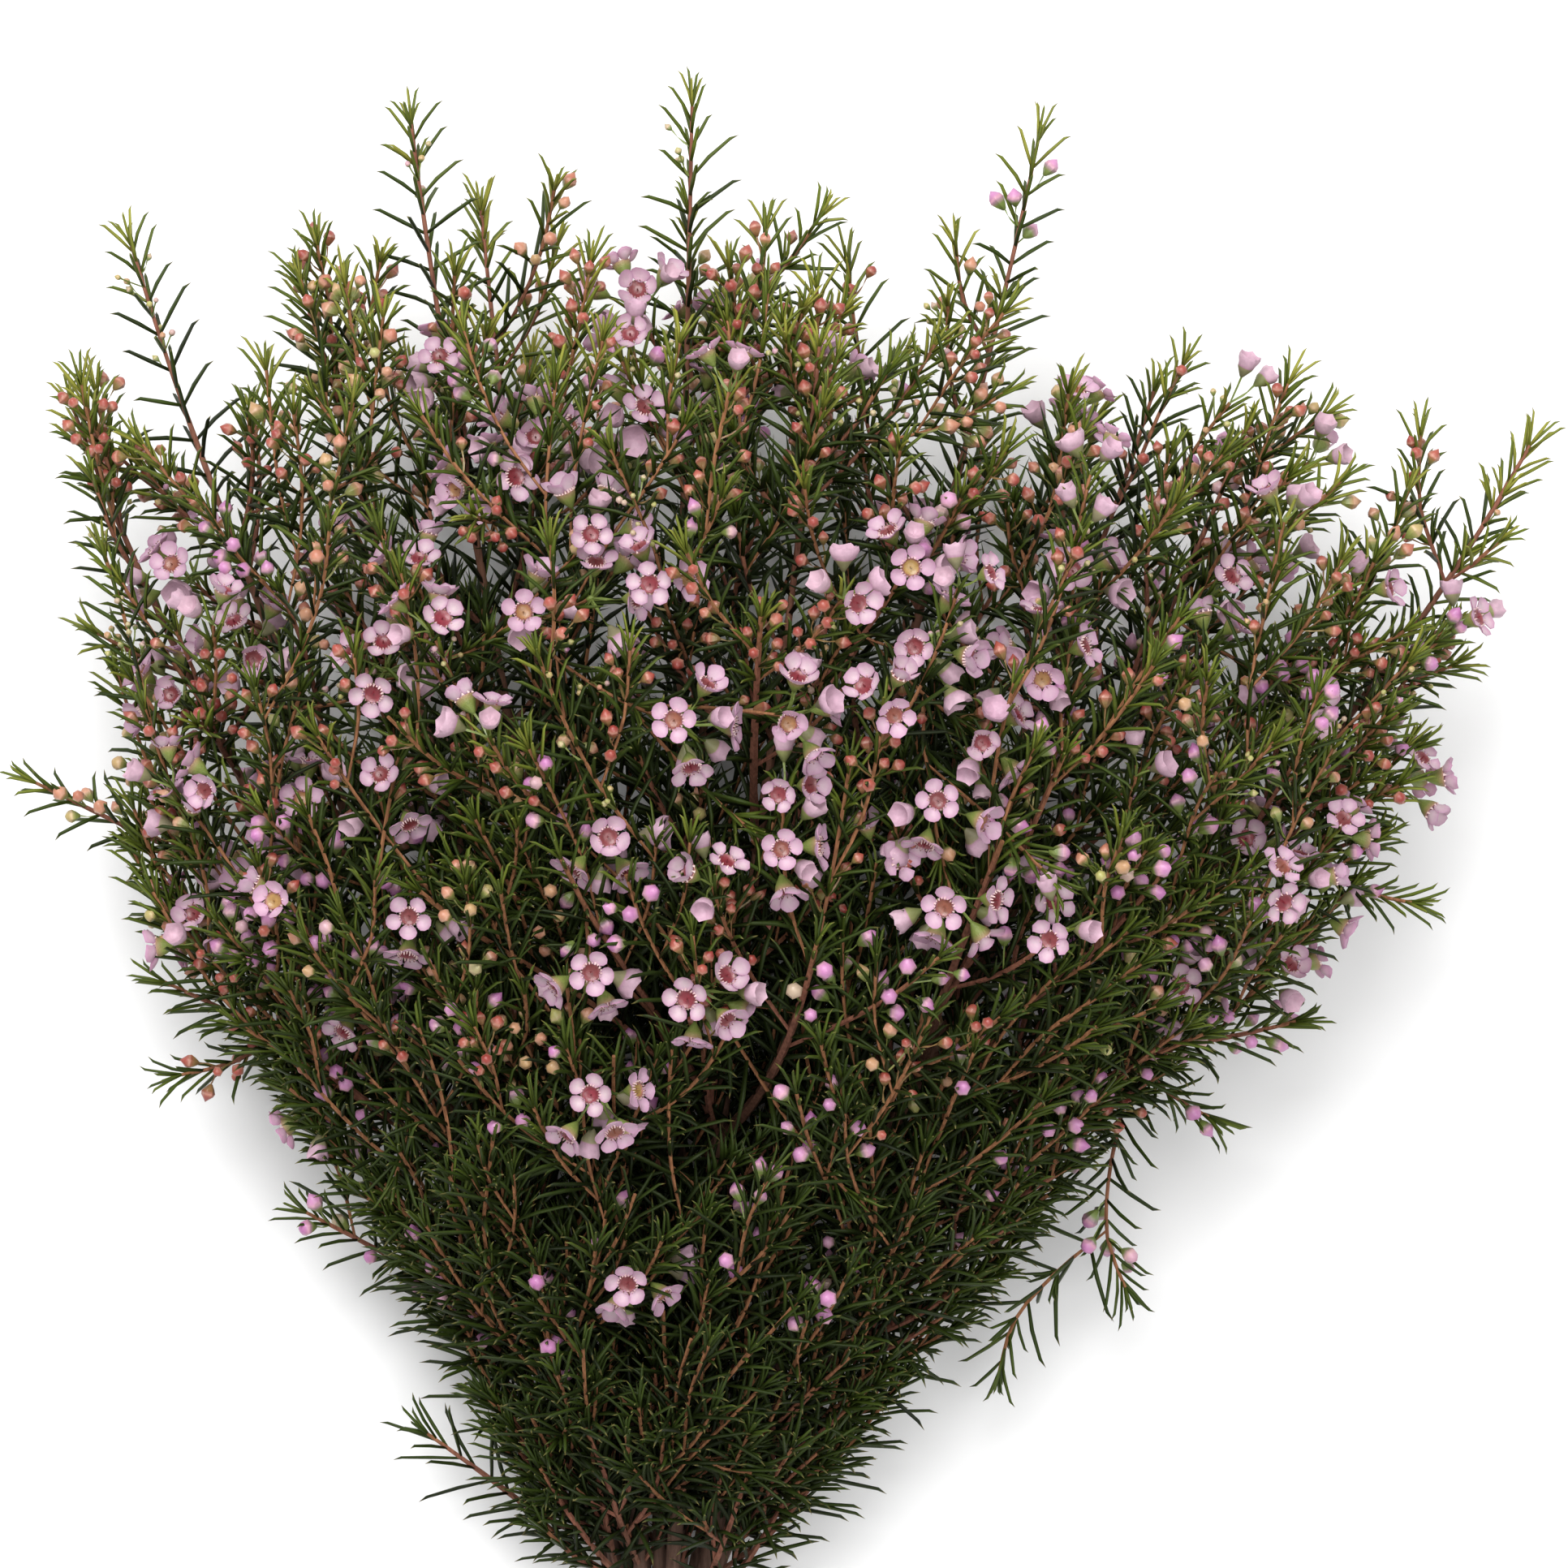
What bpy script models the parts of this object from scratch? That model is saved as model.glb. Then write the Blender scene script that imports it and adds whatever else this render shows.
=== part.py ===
"""A tied bunch of pink waxflower, laid down on a table.

The bunch lies along Y with its cut ends at -Y and its flowering tips at +Y. The table is the
plane Z = 0, and the origin is the middle of the rubber band's flat underside. Lengths are in
metres and angles in radians.
"""

import math
import random

import bmesh
import bpy
import numpy as np
from mathutils import Matrix, Quaternion, Vector

MM = 0.001
UP = Vector((0.0, 0.0, 1.0))
ALONG = Vector((0.0, 1.0, 0.0))

# The rubber band and the bundle of stems in it
INNER_RING = (3, 2.53 * MM, 90.0)  # stems, distance from the bundle's middle, first angle in degrees
OUTER_RING = (9, 6.9 * MM, -10.0)
STEM_RADIUS = 2.3 * MM
BAND_CLEARANCE = 0.4 * MM
BAND_STRAND = 3.2 * MM
BAND_STRANDS = 3
BAND_GROOVE = 0.8 * MM
BAND_THICKNESS = 2.2 * MM
BAND_SIDES = 12
BUNDLE_RADIUS = OUTER_RING[1] + STEM_RADIUS
BAND_INSIDE = BUNDLE_RADIUS + BAND_CLEARANCE
BAND_APOTHEM = BAND_INSIDE + BAND_THICKNESS
BUNDLE_MIDDLE = Vector((0.0, 0.0, BAND_APOTHEM))
STRAIGHT_HALF = 12.0 * MM  # the stems run parallel this far each side of the band's middle
CUT_END = 85.0 * MM  # cut ends lie this far below the band
CUT_SPREAD = 1.3  # how far the bundle opens again at its cut ends

# Outline of the leafy mass seen from above: distance along Y, left edge, right edge
OUTLINE = (
    (0.030, -0.022, 0.022),
    (0.070, -0.040, 0.036),
    (0.130, -0.060, 0.088),
    (0.190, -0.100, 0.132),
    (0.245, -0.141, 0.196),
    (0.330, -0.160, 0.228),
    (0.390, -0.160, 0.206),
    (0.418, -0.142, 0.114),
    (0.440, -0.095, 0.070),
)
# Height of the leafy mass: distance along Y, middle height, top height
HEIGHTS = (
    (0.030, 0.016, 0.034),
    (0.070, 0.022, 0.056),
    (0.130, 0.036, 0.092),
    (0.190, 0.048, 0.124),
    (0.245, 0.058, 0.150),
    (0.330, 0.068, 0.172),
    (0.390, 0.070, 0.164),
    (0.440, 0.066, 0.128),
    (0.510, 0.060, 0.090),
)

# Each stem's tip: X, Y and share of the depth, from 0 underneath to 1 on top
INNER_TIPS = (
    (0.011, 0.500, 0.55),
    (-0.053, 0.470, 0.34),
    (0.115, 0.490, 0.45),
)
OUTER_TIPS = (
    (0.262, 0.398, 0.50),
    (0.176, 0.402, 0.82),
    (0.049, 0.425, 0.95),
    (-0.073, 0.494, 0.72),
    (-0.157, 0.458, 0.62),
    (-0.175, 0.410, 0.40),
    (-0.100, 0.440, 0.12),
    (0.020, 0.436, 0.06),
    (0.150, 0.415, 0.14),
)
# Leafy side shoots, placed as the stems' tips are: most stand out of the outline, and the last two
# lie on the table
LEADERS = (
    (0.049, 0.466, 0.60),
    (0.158, 0.422, 0.62),
    (0.229, 0.401, 0.55),
    (0.252, 0.369, 0.62),
    (-0.030, 0.474, 0.66),
    (-0.106, 0.446, 0.56),
    (-0.186, 0.297, 0.50),
    (-0.154, 0.278, 0.40),
    (-0.167, 0.342, 0.52),
    (-0.148, 0.237, 0.42),
    (-0.143, 0.209, 0.55),
    (-0.106, 0.167, 0.50),
    (-0.070, 0.099, 0.50),
    (0.215, 0.281, 0.50),
    (0.227, 0.261, 0.60),
    (0.193, 0.225, 0.45),
    (0.167, 0.196, 0.50),
    (0.142, 0.144, 0.50),
    (0.104, 0.118, 0.42),
    (0.067, 0.108, 0.55),
    (0.239, 0.332, 0.45),
    (-0.121, 0.406, 0.66),
    (0.090, 0.458, 0.70),
    (-0.088, 0.385, -0.2),
    (0.112, 0.372, -0.2),
)
# Clusters of open flowers: X, Y, share of the depth, number of flowers
CLUSTERS = (
    (-0.149, 0.367, 0.52, 5),
    (-0.154, 0.326, 0.48, 5),
    (-0.132, 0.344, 0.70, 5),
    (-0.087, 0.337, 0.90, 5),
    (-0.045, 0.353, 0.92, 2),
    (-0.115, 0.292, 0.76, 4),
    (-0.087, 0.299, 0.88, 2),
    (-0.130, 0.270, 0.55, 2),
    (-0.080, 0.266, 0.92, 2),
    (-0.146, 0.258, 0.50, 3),
    (-0.096, 0.239, 0.74, 2),
    (-0.114, 0.204, 0.70, 1),
    (-0.066, 0.431, 0.60, 2),
    (-0.037, 0.408, 0.78, 4),
    (-0.052, 0.396, 0.80, 4),
    (-0.007, 0.413, 0.74, 3),
    (-0.023, 0.377, 0.90, 4),
    (-0.022, 0.360, 0.92, 3),
    (-0.003, 0.452, 0.60, 4),
    (0.055, 0.424, 0.76, 3),
    (0.077, 0.369, 0.94, 4),
    (0.131, 0.365, 0.80, 3),
    (0.119, 0.340, 0.90, 4),
    (0.081, 0.345, 0.96, 3),
    (0.100, 0.317, 0.94, 3),
    (0.006, 0.320, 1.00, 4),
    (0.038, 0.322, 1.00, 4),
    (0.035, 0.282, 1.00, 3),
    (0.087, 0.296, 0.98, 3),
    (0.092, 0.269, 0.98, 4),
    (-0.019, 0.286, 0.97, 3),
    (-0.022, 0.249, 1.00, 3),
    (0.012, 0.241, 1.00, 5),
    (-0.020, 0.210, 1.00, 5),
    (-0.010, 0.158, 0.98, 3),
    (0.204, 0.324, 0.58, 2),
    (0.187, 0.281, 0.58, 3),
    (0.167, 0.239, 0.62, 3),
    (0.198, 0.240, 0.50, 2),
    (0.175, 0.363, 0.64, 2),
    (-0.098, 0.372, 0.10, 4),
    (-0.020, 0.396, 0.06, 4),
    (0.082, 0.378, 0.08, 4),
    (0.160, 0.330, 0.10, 4),
    (0.060, 0.300, 0.03, 3),
    (-0.075, 0.285, 0.05, 3),
    (0.110, 0.235, 0.10, 3),
)
FILL_SHOOTS = 46

# Woody parts
STEM_SIDES = 4
SHOOT_SIDES = 3
STEM_TIP_RADIUS = 0.55 * MM
STEM_LEAVES_FROM = 0.60  # share of a stem below which it is bare
BARE_STEP = 3  # below there only one in this many of a stem's centreline points is kept
STEM_MOUNTS_FROM = 0.20  # share of a stem below which no side shoot leaves it
SHOOT_MOUNTS_FROM = 0.12
LOWEST_MOUNT = 0.045
MOUNT_SPACING = 9.0 * MM
ROUTE_STEP = 19.0 * MM  # between the points of a centreline, which are also its leaf pairs' places
SHOOT_TIP_RADIUS = 0.45 * MM
SHOOT_BASE_RADIUS = 0.65 * MM
SHOOT_GIRTH = 0.0060  # extra base radius for each metre of length
ROOT_SHARE = 0.45  # of a side shoot's radius, where it starts inside its parent
SHORTEST_SHOOT = 14.0 * MM
LAST_MOUNT = 0.93  # share of a shoot beyond which nothing leaves it
NEAREST_MOUNTS = 60  # of the mounts, how many a new shoot tries
EASY_ANGLES = (16.0, 42.0)  # degrees between a side shoot and its parent that cost nothing
BULGES = (0.0, 0.5, -0.5, 1.0, -1.0, 1.6, -1.6)  # turns of a side shoot's bend that are tried
FILL_FROM, FILL_TO = 0.075, 0.440
FILL_ROOM = 11.0 * MM  # least room round the end of a shoot that fills the leafy mass

# Opposite pairs of needle leaves, raised from two sides of their shoot
PAIR_FOOT = 1.4 * MM  # along the shoot
LAST_PAIR = 5.0 * MM  # from a shoot's tip
NEEDLE_LENGTH = 17.0 * MM
NEEDLE_RADIUS = 0.40 * MM
NEEDLE_SPREAD = math.radians(46.0)
NEEDLE_SPREAD_AT_TIP = math.radians(24.0)
SHORT_NEEDLES = 28.0 * MM  # from a shoot's tip, where the leaves are younger
NEEDLES_FROM = 0.030  # no needles nearer to the band than this

# Open flowers
CLUSTER_DEPTH = 15.0 * MM  # from a cluster's flowers back to its twig's end
LOWEST_CLUSTER = 9.0 * MM
PEDICEL_LENGTH = 15.0 * MM
PEDICEL_RADIUS = 0.55 * MM
CLUSTER_TILTS = (0.0, 34.0, 41.0, 49.0, 57.0)  # lean of the flowers in a cluster of 1, 2, 3, 4 and 5
FLOWER_RADIUS = 6.9 * MM
PETALS = 5
PETAL_HALF = 0.24  # half a petal's blunt end, as a share of its place round the flower
NOTCH_RADIUS = 3.9 * MM
PETAL_RISE = 1.9 * MM
CUP_RADIUS = 2.5 * MM
CUP_FLOOR = -1.3 * MM
CUP_FOOT = -5.4 * MM
SEAT_GAP = 0.3 * MM  # between a cluster's foot and the twig that carries it
KNOB_RADIUS = 0.9 * MM
KNOB_LENGTH = 2.0 * MM

# Buds, raised as pairs in the place of some needles
BUD_RADIUS = 2.1 * MM
BUD_STALK = 7.0 * MM
BUD_SPREAD = math.radians(50.0)
BUDS_FROM = 0.17  # nearest to the band
BUD_SHARE = 0.25  # of the modelled pairs near a shoot's tip, those that are buds

CLEARANCE = 0.45 * MM  # least distance between two nodes
SEED = "waxflower"


def at_share(rows, where, column):
    """The value in a column of rows at a distance along Y, read between the two nearest rows."""
    return float(np.interp(where, [row[0] for row in rows], [row[column] for row in rows]))


def height_at(x, y, depth):
    """Height above the table at a share of the leafy mass's depth, in its rounded cross-section."""
    left = at_share(OUTLINE, y, 1)
    right = at_share(OUTLINE, y, 2)
    middle = at_share(HEIGHTS, y, 1)
    top = at_share(HEIGHTS, y, 2)
    across = (2 * x - left - right) / (right - left)
    round_off = math.sqrt(max(0.08, 1 - across * across))
    if depth >= 0.5:
        return middle + (top - middle) * (2 * depth - 1) * round_off
    return middle - middle * (1 - 2 * depth) * round_off


def outward(point):
    """The direction in which the leafy mass's surface faces near a point."""
    left = at_share(OUTLINE, point.y, 1)
    right = at_share(OUTLINE, point.y, 2)
    middle = at_share(HEIGHTS, point.y, 1)
    top = at_share(HEIGHTS, point.y, 2)
    across = (2 * point.x - left - right) / (right - left)
    rise = (point.z - middle) / (top - middle)
    tilt = 0.25 + 1.4 * max(0.0, (point.y - 0.30) / 0.15)
    return Vector((across, tilt, 1.15 * rise)).normalized()


def bezier(a, b, c, d, segments):
    points = []
    for step in range(segments + 1):
        t = step / segments
        s = 1 - t
        points.append(a * s**3 + b * 3 * s * s * t + c * 3 * s * t * t + d * t**3)
    return points


def sideways(direction):
    """A direction square to the given one, level where it can be."""
    side = direction.cross(UP)
    if side.length < 0.1:
        side = direction.cross(ALONG)
    return side.normalized()


def turned(vector, axis, angle):
    return Quaternion(axis, angle) @ vector


def on_table(point, radius):
    """The point, lifted so that something of this radius round it rests on the table."""
    return Vector((point.x, point.y, max(point.z, radius)))


def segment_gaps(start, end, starts, ends):
    """Distances from one segment to each of many, between their centrelines."""
    d1 = end - start
    d2 = ends - starts
    r = start - starts
    a = d1 @ d1
    e = np.einsum("ij,ij->i", d2, d2)
    f = np.einsum("ij,ij->i", d2, r)
    c = r @ d1
    b = d2 @ d1
    spread = a * e - b * b
    s = np.clip((b * f - c * e) / np.where(spread > 1e-16, spread, 1e-16), 0, 1)
    t = np.clip((b * s + f) / e, 0, 1)
    s = np.clip((b * t - c) / a, 0, 1)
    apart = (start + s[:, None] * d1) - (starts + t[:, None] * d2)
    return np.sqrt(np.einsum("ij,ij->i", apart, apart))


class Space:
    """The round-ended rods that stand for everything grown so far, each with its owner's number."""

    def __init__(self):
        self.starts = np.zeros((0, 3))
        self.ends = np.zeros((0, 3))
        self.radii = np.zeros(0)
        self.owners = np.zeros(0, int)

    def add(self, rods, owner):
        self.starts = np.vstack([self.starts, [tuple(rod[0]) for rod in rods]])
        self.ends = np.vstack([self.ends, [tuple(rod[1]) for rod in rods]])
        self.radii = np.append(self.radii, [rod[2] for rod in rods])
        self.owners = np.append(self.owners, [owner] * len(rods))

    def is_clear(self, rods, owner):
        """True if every rod is clear of the table and of what other owners have grown."""
        others = self.owners != owner
        starts = self.starts[others]
        ends = self.ends[others]
        radii = self.radii[others]
        for start, end, radius in rods:
            if min(start.z, end.z) < radius:
                return False
            gaps = segment_gaps(np.array(start), np.array(end), starts, ends)
            if len(gaps) and (gaps - radii - radius).min() < CLEARANCE:
                return False
        return True


def rods_along(points, radii):
    return [
        (a, b, max(ra, rb))
        for a, b, ra, rb in zip(points, points[1:], radii, radii[1:])
    ]


class Shoot:
    """A stem or a side shoot: its centreline, its radius at each point and the stem it belongs to."""

    def __init__(self, stem, points, base_radius, tip_radius, mounts_from, straight_points=0):
        self.stem = stem
        self.points = points
        self.lengths = [0.0]
        for a, b in zip(points, points[1:]):
            self.lengths.append(self.lengths[-1] + (b - a).length)
        self.length = self.lengths[-1]
        straight = self.lengths[straight_points]
        self.radii = [
            base_radius + (tip_radius - base_radius) * max(0.0, at - straight) / (self.length - straight)
            for at in self.lengths
        ]
        self.mounts_from = mounts_from
        self.carries_flowers = False

    def place(self, at):
        """Point, direction and radius at a distance along the shoot."""
        i = min(int(np.searchsorted(self.lengths, at, side="right")) - 1, len(self.points) - 2)
        run = self.points[i + 1] - self.points[i]
        share = (at - self.lengths[i]) / run.length
        radius = self.radii[i] + (self.radii[i + 1] - self.radii[i]) * share
        return self.points[i] + run * share, run.normalized(), radius


class Bunch:
    """Grows the stems, their side shoots and the flower clusters, each clear of what stands there."""

    def __init__(self):
        self.space = Space()
        self.shoots = []
        self.mounts = []
        self.clusters = []

    def add_shoot(self, shoot):
        self.shoots.append(shoot)
        self.space.add(rods_along(shoot.points, shoot.radii), shoot.stem)
        at = shoot.length * shoot.mounts_from
        while at < shoot.length * LAST_MOUNT:
            point, direction, radius = shoot.place(at)
            if point.y > LOWEST_MOUNT:
                self.mounts.append((*point, *direction, radius, shoot.stem))
            at += MOUNT_SPACING

    def grow_stem(self, number, ring, tip):
        """A stem from its cut end, straight through the band, then out to its tip."""
        count, distance, first = ring[0]
        angle = math.radians(first + 360.0 * ring[1] / count)
        spoke = Vector((math.cos(angle), 0.0, math.sin(angle)))
        through = BUNDLE_MIDDLE + spoke * distance
        draw = random.Random(f"{SEED} stem {number}")
        spread = spoke * distance * CUT_SPREAD
        cut = Vector((spread.x, -CUT_END - draw.uniform(-7, 7) * MM, BUNDLE_MIDDLE.z + spread.z))
        cut = on_table(cut, STEM_RADIUS + CLEARANCE)
        low = through - ALONG * STRAIGHT_HALF
        high = through + ALONG * STRAIGHT_HALF
        x, y, depth = tip
        end = Vector((x, y, height_at(x, y, depth)))
        reach = (end - high).length
        fan = Vector(((end.x - high.x) / reach, 1.0, (end.z - high.z) / reach)).normalized()
        way = (end - high).normalized()
        late = (way * 0.75 + fan * 0.25 + ALONG * 0.15).normalized()
        start_way = (ALONG + way * 0.35).normalized()
        steps = round(reach / ROUTE_STEP)
        bare = round(steps * STEM_LEAVES_FROM)
        rise = bezier(high, high + start_way * reach * 0.3, end - late * reach * 0.35, end, steps)
        rise = rise[:bare:BARE_STEP] + rise[bare:]
        points = [cut, low] + [on_table(p, STEM_RADIUS) for p in rise]
        stem = Shoot(number, points, STEM_RADIUS, STEM_TIP_RADIUS, STEM_MOUNTS_FROM, straight_points=2)
        self.add_shoot(stem)

    def mount_choices(self, target):
        """The mounts on the shoots so far, best first: near the target, with an easy angle to it."""
        table = np.array(self.mounts)
        away = np.array(target) - table[:, :3]
        length = np.sqrt((away * away).sum(axis=1))
        cosine = (away * table[:, 3:6]).sum(axis=1) / np.maximum(length, 1e-9)
        angle = np.degrees(np.arccos(np.clip(cosine, -1, 1)))
        least, most = EASY_ANGLES
        cost = length * (1 + np.maximum(0, angle - most) / 14 + np.maximum(0, least - angle) / 10)
        cost[length < SHORTEST_SHOOT] = np.inf
        return [self.mounts[i] for i in np.argsort(cost, kind="stable")[:NEAREST_MOUNTS]]

    def routes(self, mount, target, heading):
        """Ways from a mount to the target, which leave the mount sideways and bend towards heading."""
        start = Vector(mount[:3])
        direction = Vector(mount[3:6])
        way = target - start
        length = way.length
        way.normalize()
        side = way - direction * way.dot(direction)
        side = side.normalized() if side.length > 0.05 else sideways(direction)
        segments = max(2, round(length / ROUTE_STEP))
        for turn in BULGES:
            bulge = turned(side, way, turn)
            leave = (way + bulge * 0.40).normalized()
            arrive = (way + heading * 0.45 - bulge * 0.2).normalized()
            yield bezier(
                start,
                start + leave * length * 0.36,
                target - arrive * length * 0.30,
                target,
                segments,
            )

    def grow_shoot(self, target, heading, keep=lambda shoot: True):
        """A side shoot to the target from the best mount that leaves it a clear way, or None."""
        for mount in self.mount_choices(target):
            radius, stem = mount[6], int(mount[7])
            for points in self.routes(mount, target, heading):
                length = sum((b - a).length for a, b in zip(points, points[1:]))
                base = min(radius * 0.8, SHOOT_BASE_RADIUS + SHOOT_GIRTH * length)
                base = max(base, SHOOT_TIP_RADIUS)
                points = points[:1] + [on_table(p, base) for p in points[1:]]
                shoot = Shoot(stem, points, base, min(base, SHOOT_TIP_RADIUS), SHOOT_MOUNTS_FROM)
                if self.space.is_clear(rods_along(points, shoot.radii), stem) and keep(shoot):
                    self.add_shoot(shoot)
                    return shoot
        return None

    def grow_leader(self, number):
        x, y, depth = LEADERS[number]
        target = Vector((x, y, height_at(x, y, depth)))
        return self.grow_shoot(target, outward(target))

    def grow_cluster(self, number):
        """A twig with a cluster of open flowers on its end."""
        x, y, depth, count = CLUSTERS[number]
        draw = random.Random(f"{SEED} cluster {number}")
        owner = -1 - number
        for attempt in range(8):
            target = Vector((x, y, height_at(x, y, depth)))
            heading = outward(target)
            target -= heading * CLUSTER_DEPTH
            if attempt:
                target += Vector([draw.uniform(-6, 6) * MM for _ in range(3)])
            target = on_table(target, LOWEST_CLUSTER)
            made = []

            def flowers_fit(shoot):
                made[:] = cluster_on(shoot, heading, count, draw, self.space, owner)
                return len(made) > 1

            twig = self.grow_shoot(target, heading, flowers_fit)
            if twig:
                twig.carries_flowers = True
                foot, flowers = made[0], made[1:]
                self.clusters.append((number, foot, flowers))
                rods = [foot_rod(foot)]
                for flower in flowers:
                    rods += flower_rods(flower)
                self.space.add(rods, owner)
                return True
        return False

    def grow_fill(self, number):
        """A leafy shoot to the emptiest of a few places drawn in the leafy mass."""
        draw = random.Random(f"{SEED} fill {number}")
        places = np.array([mount[:3] for mount in self.mounts])
        best, room = None, FILL_ROOM
        for _ in range(10):
            y = draw.uniform(FILL_FROM, FILL_TO)
            left, right = at_share(OUTLINE, y, 1), at_share(OUTLINE, y, 2)
            x = draw.uniform(left, right)
            point = Vector((x, y, height_at(x, y, draw.uniform(0.0, 1.0))))
            away = places - np.array(point)
            nearest = math.sqrt((away * away).sum(axis=1).min())
            if nearest > room:
                best, room = point, nearest
        return best and self.grow_shoot(best, outward(best))

    def grow(self, fill_shoots):
        tips = [(INNER_RING, i, tip) for i, tip in enumerate(INNER_TIPS)]
        tips += [(OUTER_RING, i, tip) for i, tip in enumerate(OUTER_TIPS)]
        for number, (ring, place, tip) in enumerate(tips):
            self.grow_stem(number, (ring, place), tip)
        for number in range(len(LEADERS)):
            self.grow_leader(number)
        for number in range(len(CLUSTERS)):
            self.grow_cluster(number)
        for number in range(fill_shoots):
            self.grow_fill(number)
        return self


def foot_rod(foot):
    point, direction = foot
    return point, point + direction * KNOB_LENGTH, KNOB_RADIUS


def flower_rods(flower):
    """The rods that stand for a flower: its pedicel, its cup and its petals."""
    base, middle, axis, roll = flower
    rods = [
        (base, middle, PEDICEL_RADIUS * 1.6),
        (middle - axis * CUP_RADIUS * 1.3, middle, CUP_RADIUS * 0.8),
    ]
    side = turned(sideways(axis), axis, roll)
    for petal in range(PETALS):
        reach = turned(side, axis, math.tau * petal / PETALS)
        inner = middle + reach * CUP_RADIUS
        outer = middle + reach * (FLOWER_RADIUS - 2.0 * MM) + axis * PETAL_RISE * 0.5
        rods.append((inner, outer, 2.2 * MM))
    return rods


def cluster_on(twig, heading, count, draw, space, owner):
    """The foot of a cluster on a twig's end and then its flowers, or an empty list if they don't fit.

    A flower is the point where its pedicel starts, its middle, its axis and its petals' turn."""
    direction = (twig.points[-1] - twig.points[-2]).normalized()
    lead = (direction + heading * 0.7).normalized()
    foot = (twig.points[-1] + direction * SEAT_GAP, direction)
    if not space.is_clear([foot_rod(foot)], owner):
        return []
    root = foot[0] + direction * KNOB_LENGTH * 0.55
    tilt = math.radians(CLUSTER_TILTS[count - 1])
    ring = count - 1 if count == 5 else count
    for start in range(10):
        first = start * 0.63 + draw.uniform(-0.2, 0.2)
        flowers = []
        for place in range(count):
            leaning = tilt * (place < ring)
            roll = first + place * math.tau / ring
            flower = fit_flower(root, lead, direction, leaning, roll, flowers, draw, space, owner)
            if not flower:
                break
            flowers.append(flower)
        if len(flowers) == count:
            return [foot, *flowers]
    return []


def fit_flower(root, lead, direction, tilt, roll, others, draw, space, owner):
    """A flower near the given tilt and roll round the lead, clear of all others, or None."""
    for trial in range(5):
        loose = 0.12 + 0.08 * trial
        leaning = tilt + draw.uniform(-loose, loose)
        axis = turned(turned(lead, sideways(lead), leaning), lead, roll + draw.uniform(-loose, loose))
        if axis.dot(direction) < 0.25:
            continue
        middle = root + axis * PEDICEL_LENGTH * draw.uniform(0.85, 1.15)
        flower = (root, middle, axis, draw.uniform(0, math.tau / PETALS))
        apart = min([(middle - other[1]).length for other in others] + [1.0])
        if apart > 1.85 * FLOWER_RADIUS and space.is_clear(flower_rods(flower), owner):
            return flower
    return None


# Meshes

def link(name, data, collection):
    made = bpy.data.objects.new(name, data)
    collection.objects.link(made)
    return made


def mesh_from(name, bm):
    mesh = bpy.data.meshes.new(name)
    bm.to_mesh(mesh)
    bm.free()
    return mesh


def pose(direction, side):
    """The turn that takes +Z to direction and +X towards side."""
    z = direction.normalized()
    x = (side - z * side.dot(z)).normalized()
    y = z.cross(x)
    return Matrix((x, y, z)).transposed().to_4x4()


def closed_rod(bm, start, end, first_radius, radius, sides, corner):
    """A tapered prism between two points, with a corner towards corner. It returns its far end's face."""
    way = end - start
    place = Matrix.Translation((start + end) / 2) @ pose(way, corner)
    bmesh.ops.create_cone(
        bm,
        cap_ends=True,
        segments=sides,
        radius1=first_radius,
        radius2=radius,
        depth=way.length,
        matrix=place,
    )
    bm.normal_update()
    return max(bm.faces, key=lambda face: face.normal.dot(way.normalized()))


def grow_face(bm, face, middle, way, radius):
    """Extrudes a face to a new middle, facing way, with its corners this far from the middle."""
    grown = bmesh.ops.extrude_discrete_faces(bm, faces=[face])["faces"][0]
    grown.normal_update()
    turn = grown.normal.rotation_difference(way)
    centre = grown.calc_center_median()
    for vert in grown.verts:
        arm = turn @ (vert.co - centre)
        arm -= way * arm.dot(way)
        vert.co = middle + arm.normalized() * radius
    grown.normal_update()
    return grown


def raise_tip(bm, face, tip):
    """Pulls the middle of a face out to a point."""
    bmesh.ops.poke(bm, faces=[face])["verts"][0].co = tip


def ring_of(bm, points):
    """A closed loop of edges through the points."""
    verts = [bm.verts.new(point) for point in points]
    return [bm.edges.new((a, b)) for a, b in zip(verts, verts[1:] + verts[:1])]


def rim_points(frame):
    """The outline of five blunt petals round a flower's middle, its axis along the frame's Z."""
    points = []
    for petal in range(PETALS):
        for part, radius, height in (
            (-0.5, NOTCH_RADIUS, 0.0),
            (-PETAL_HALF, FLOWER_RADIUS, PETAL_RISE),
            (PETAL_HALF, FLOWER_RADIUS, PETAL_RISE),
        ):
            angle = math.tau * (petal + part) / PETALS
            points.append(frame @ Vector((radius * math.cos(angle), radius * math.sin(angle), height)))
    return points


def grow_flower(bm, face, middle, axis, roll):
    """An open flower on its pedicel, grown from a face of its cluster's knob."""
    neck = grow_face(bm, face, middle + axis * CUP_FOOT, axis, PEDICEL_RADIUS)
    neck_ring = list(neck.edges)
    bmesh.ops.delete(bm, geom=[neck], context="FACES_ONLY")
    frame = Matrix.Translation(middle) @ pose(axis, turned(sideways(axis), axis, roll))
    rim = ring_of(bm, rim_points(frame))
    bmesh.ops.bridge_loops(bm, edges=neck_ring + rim)
    inside = bmesh.ops.edgeloop_fill(bm, edges=rim)["faces"][0]
    raise_tip(bm, inside, middle + axis * CUP_FLOOR)


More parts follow.
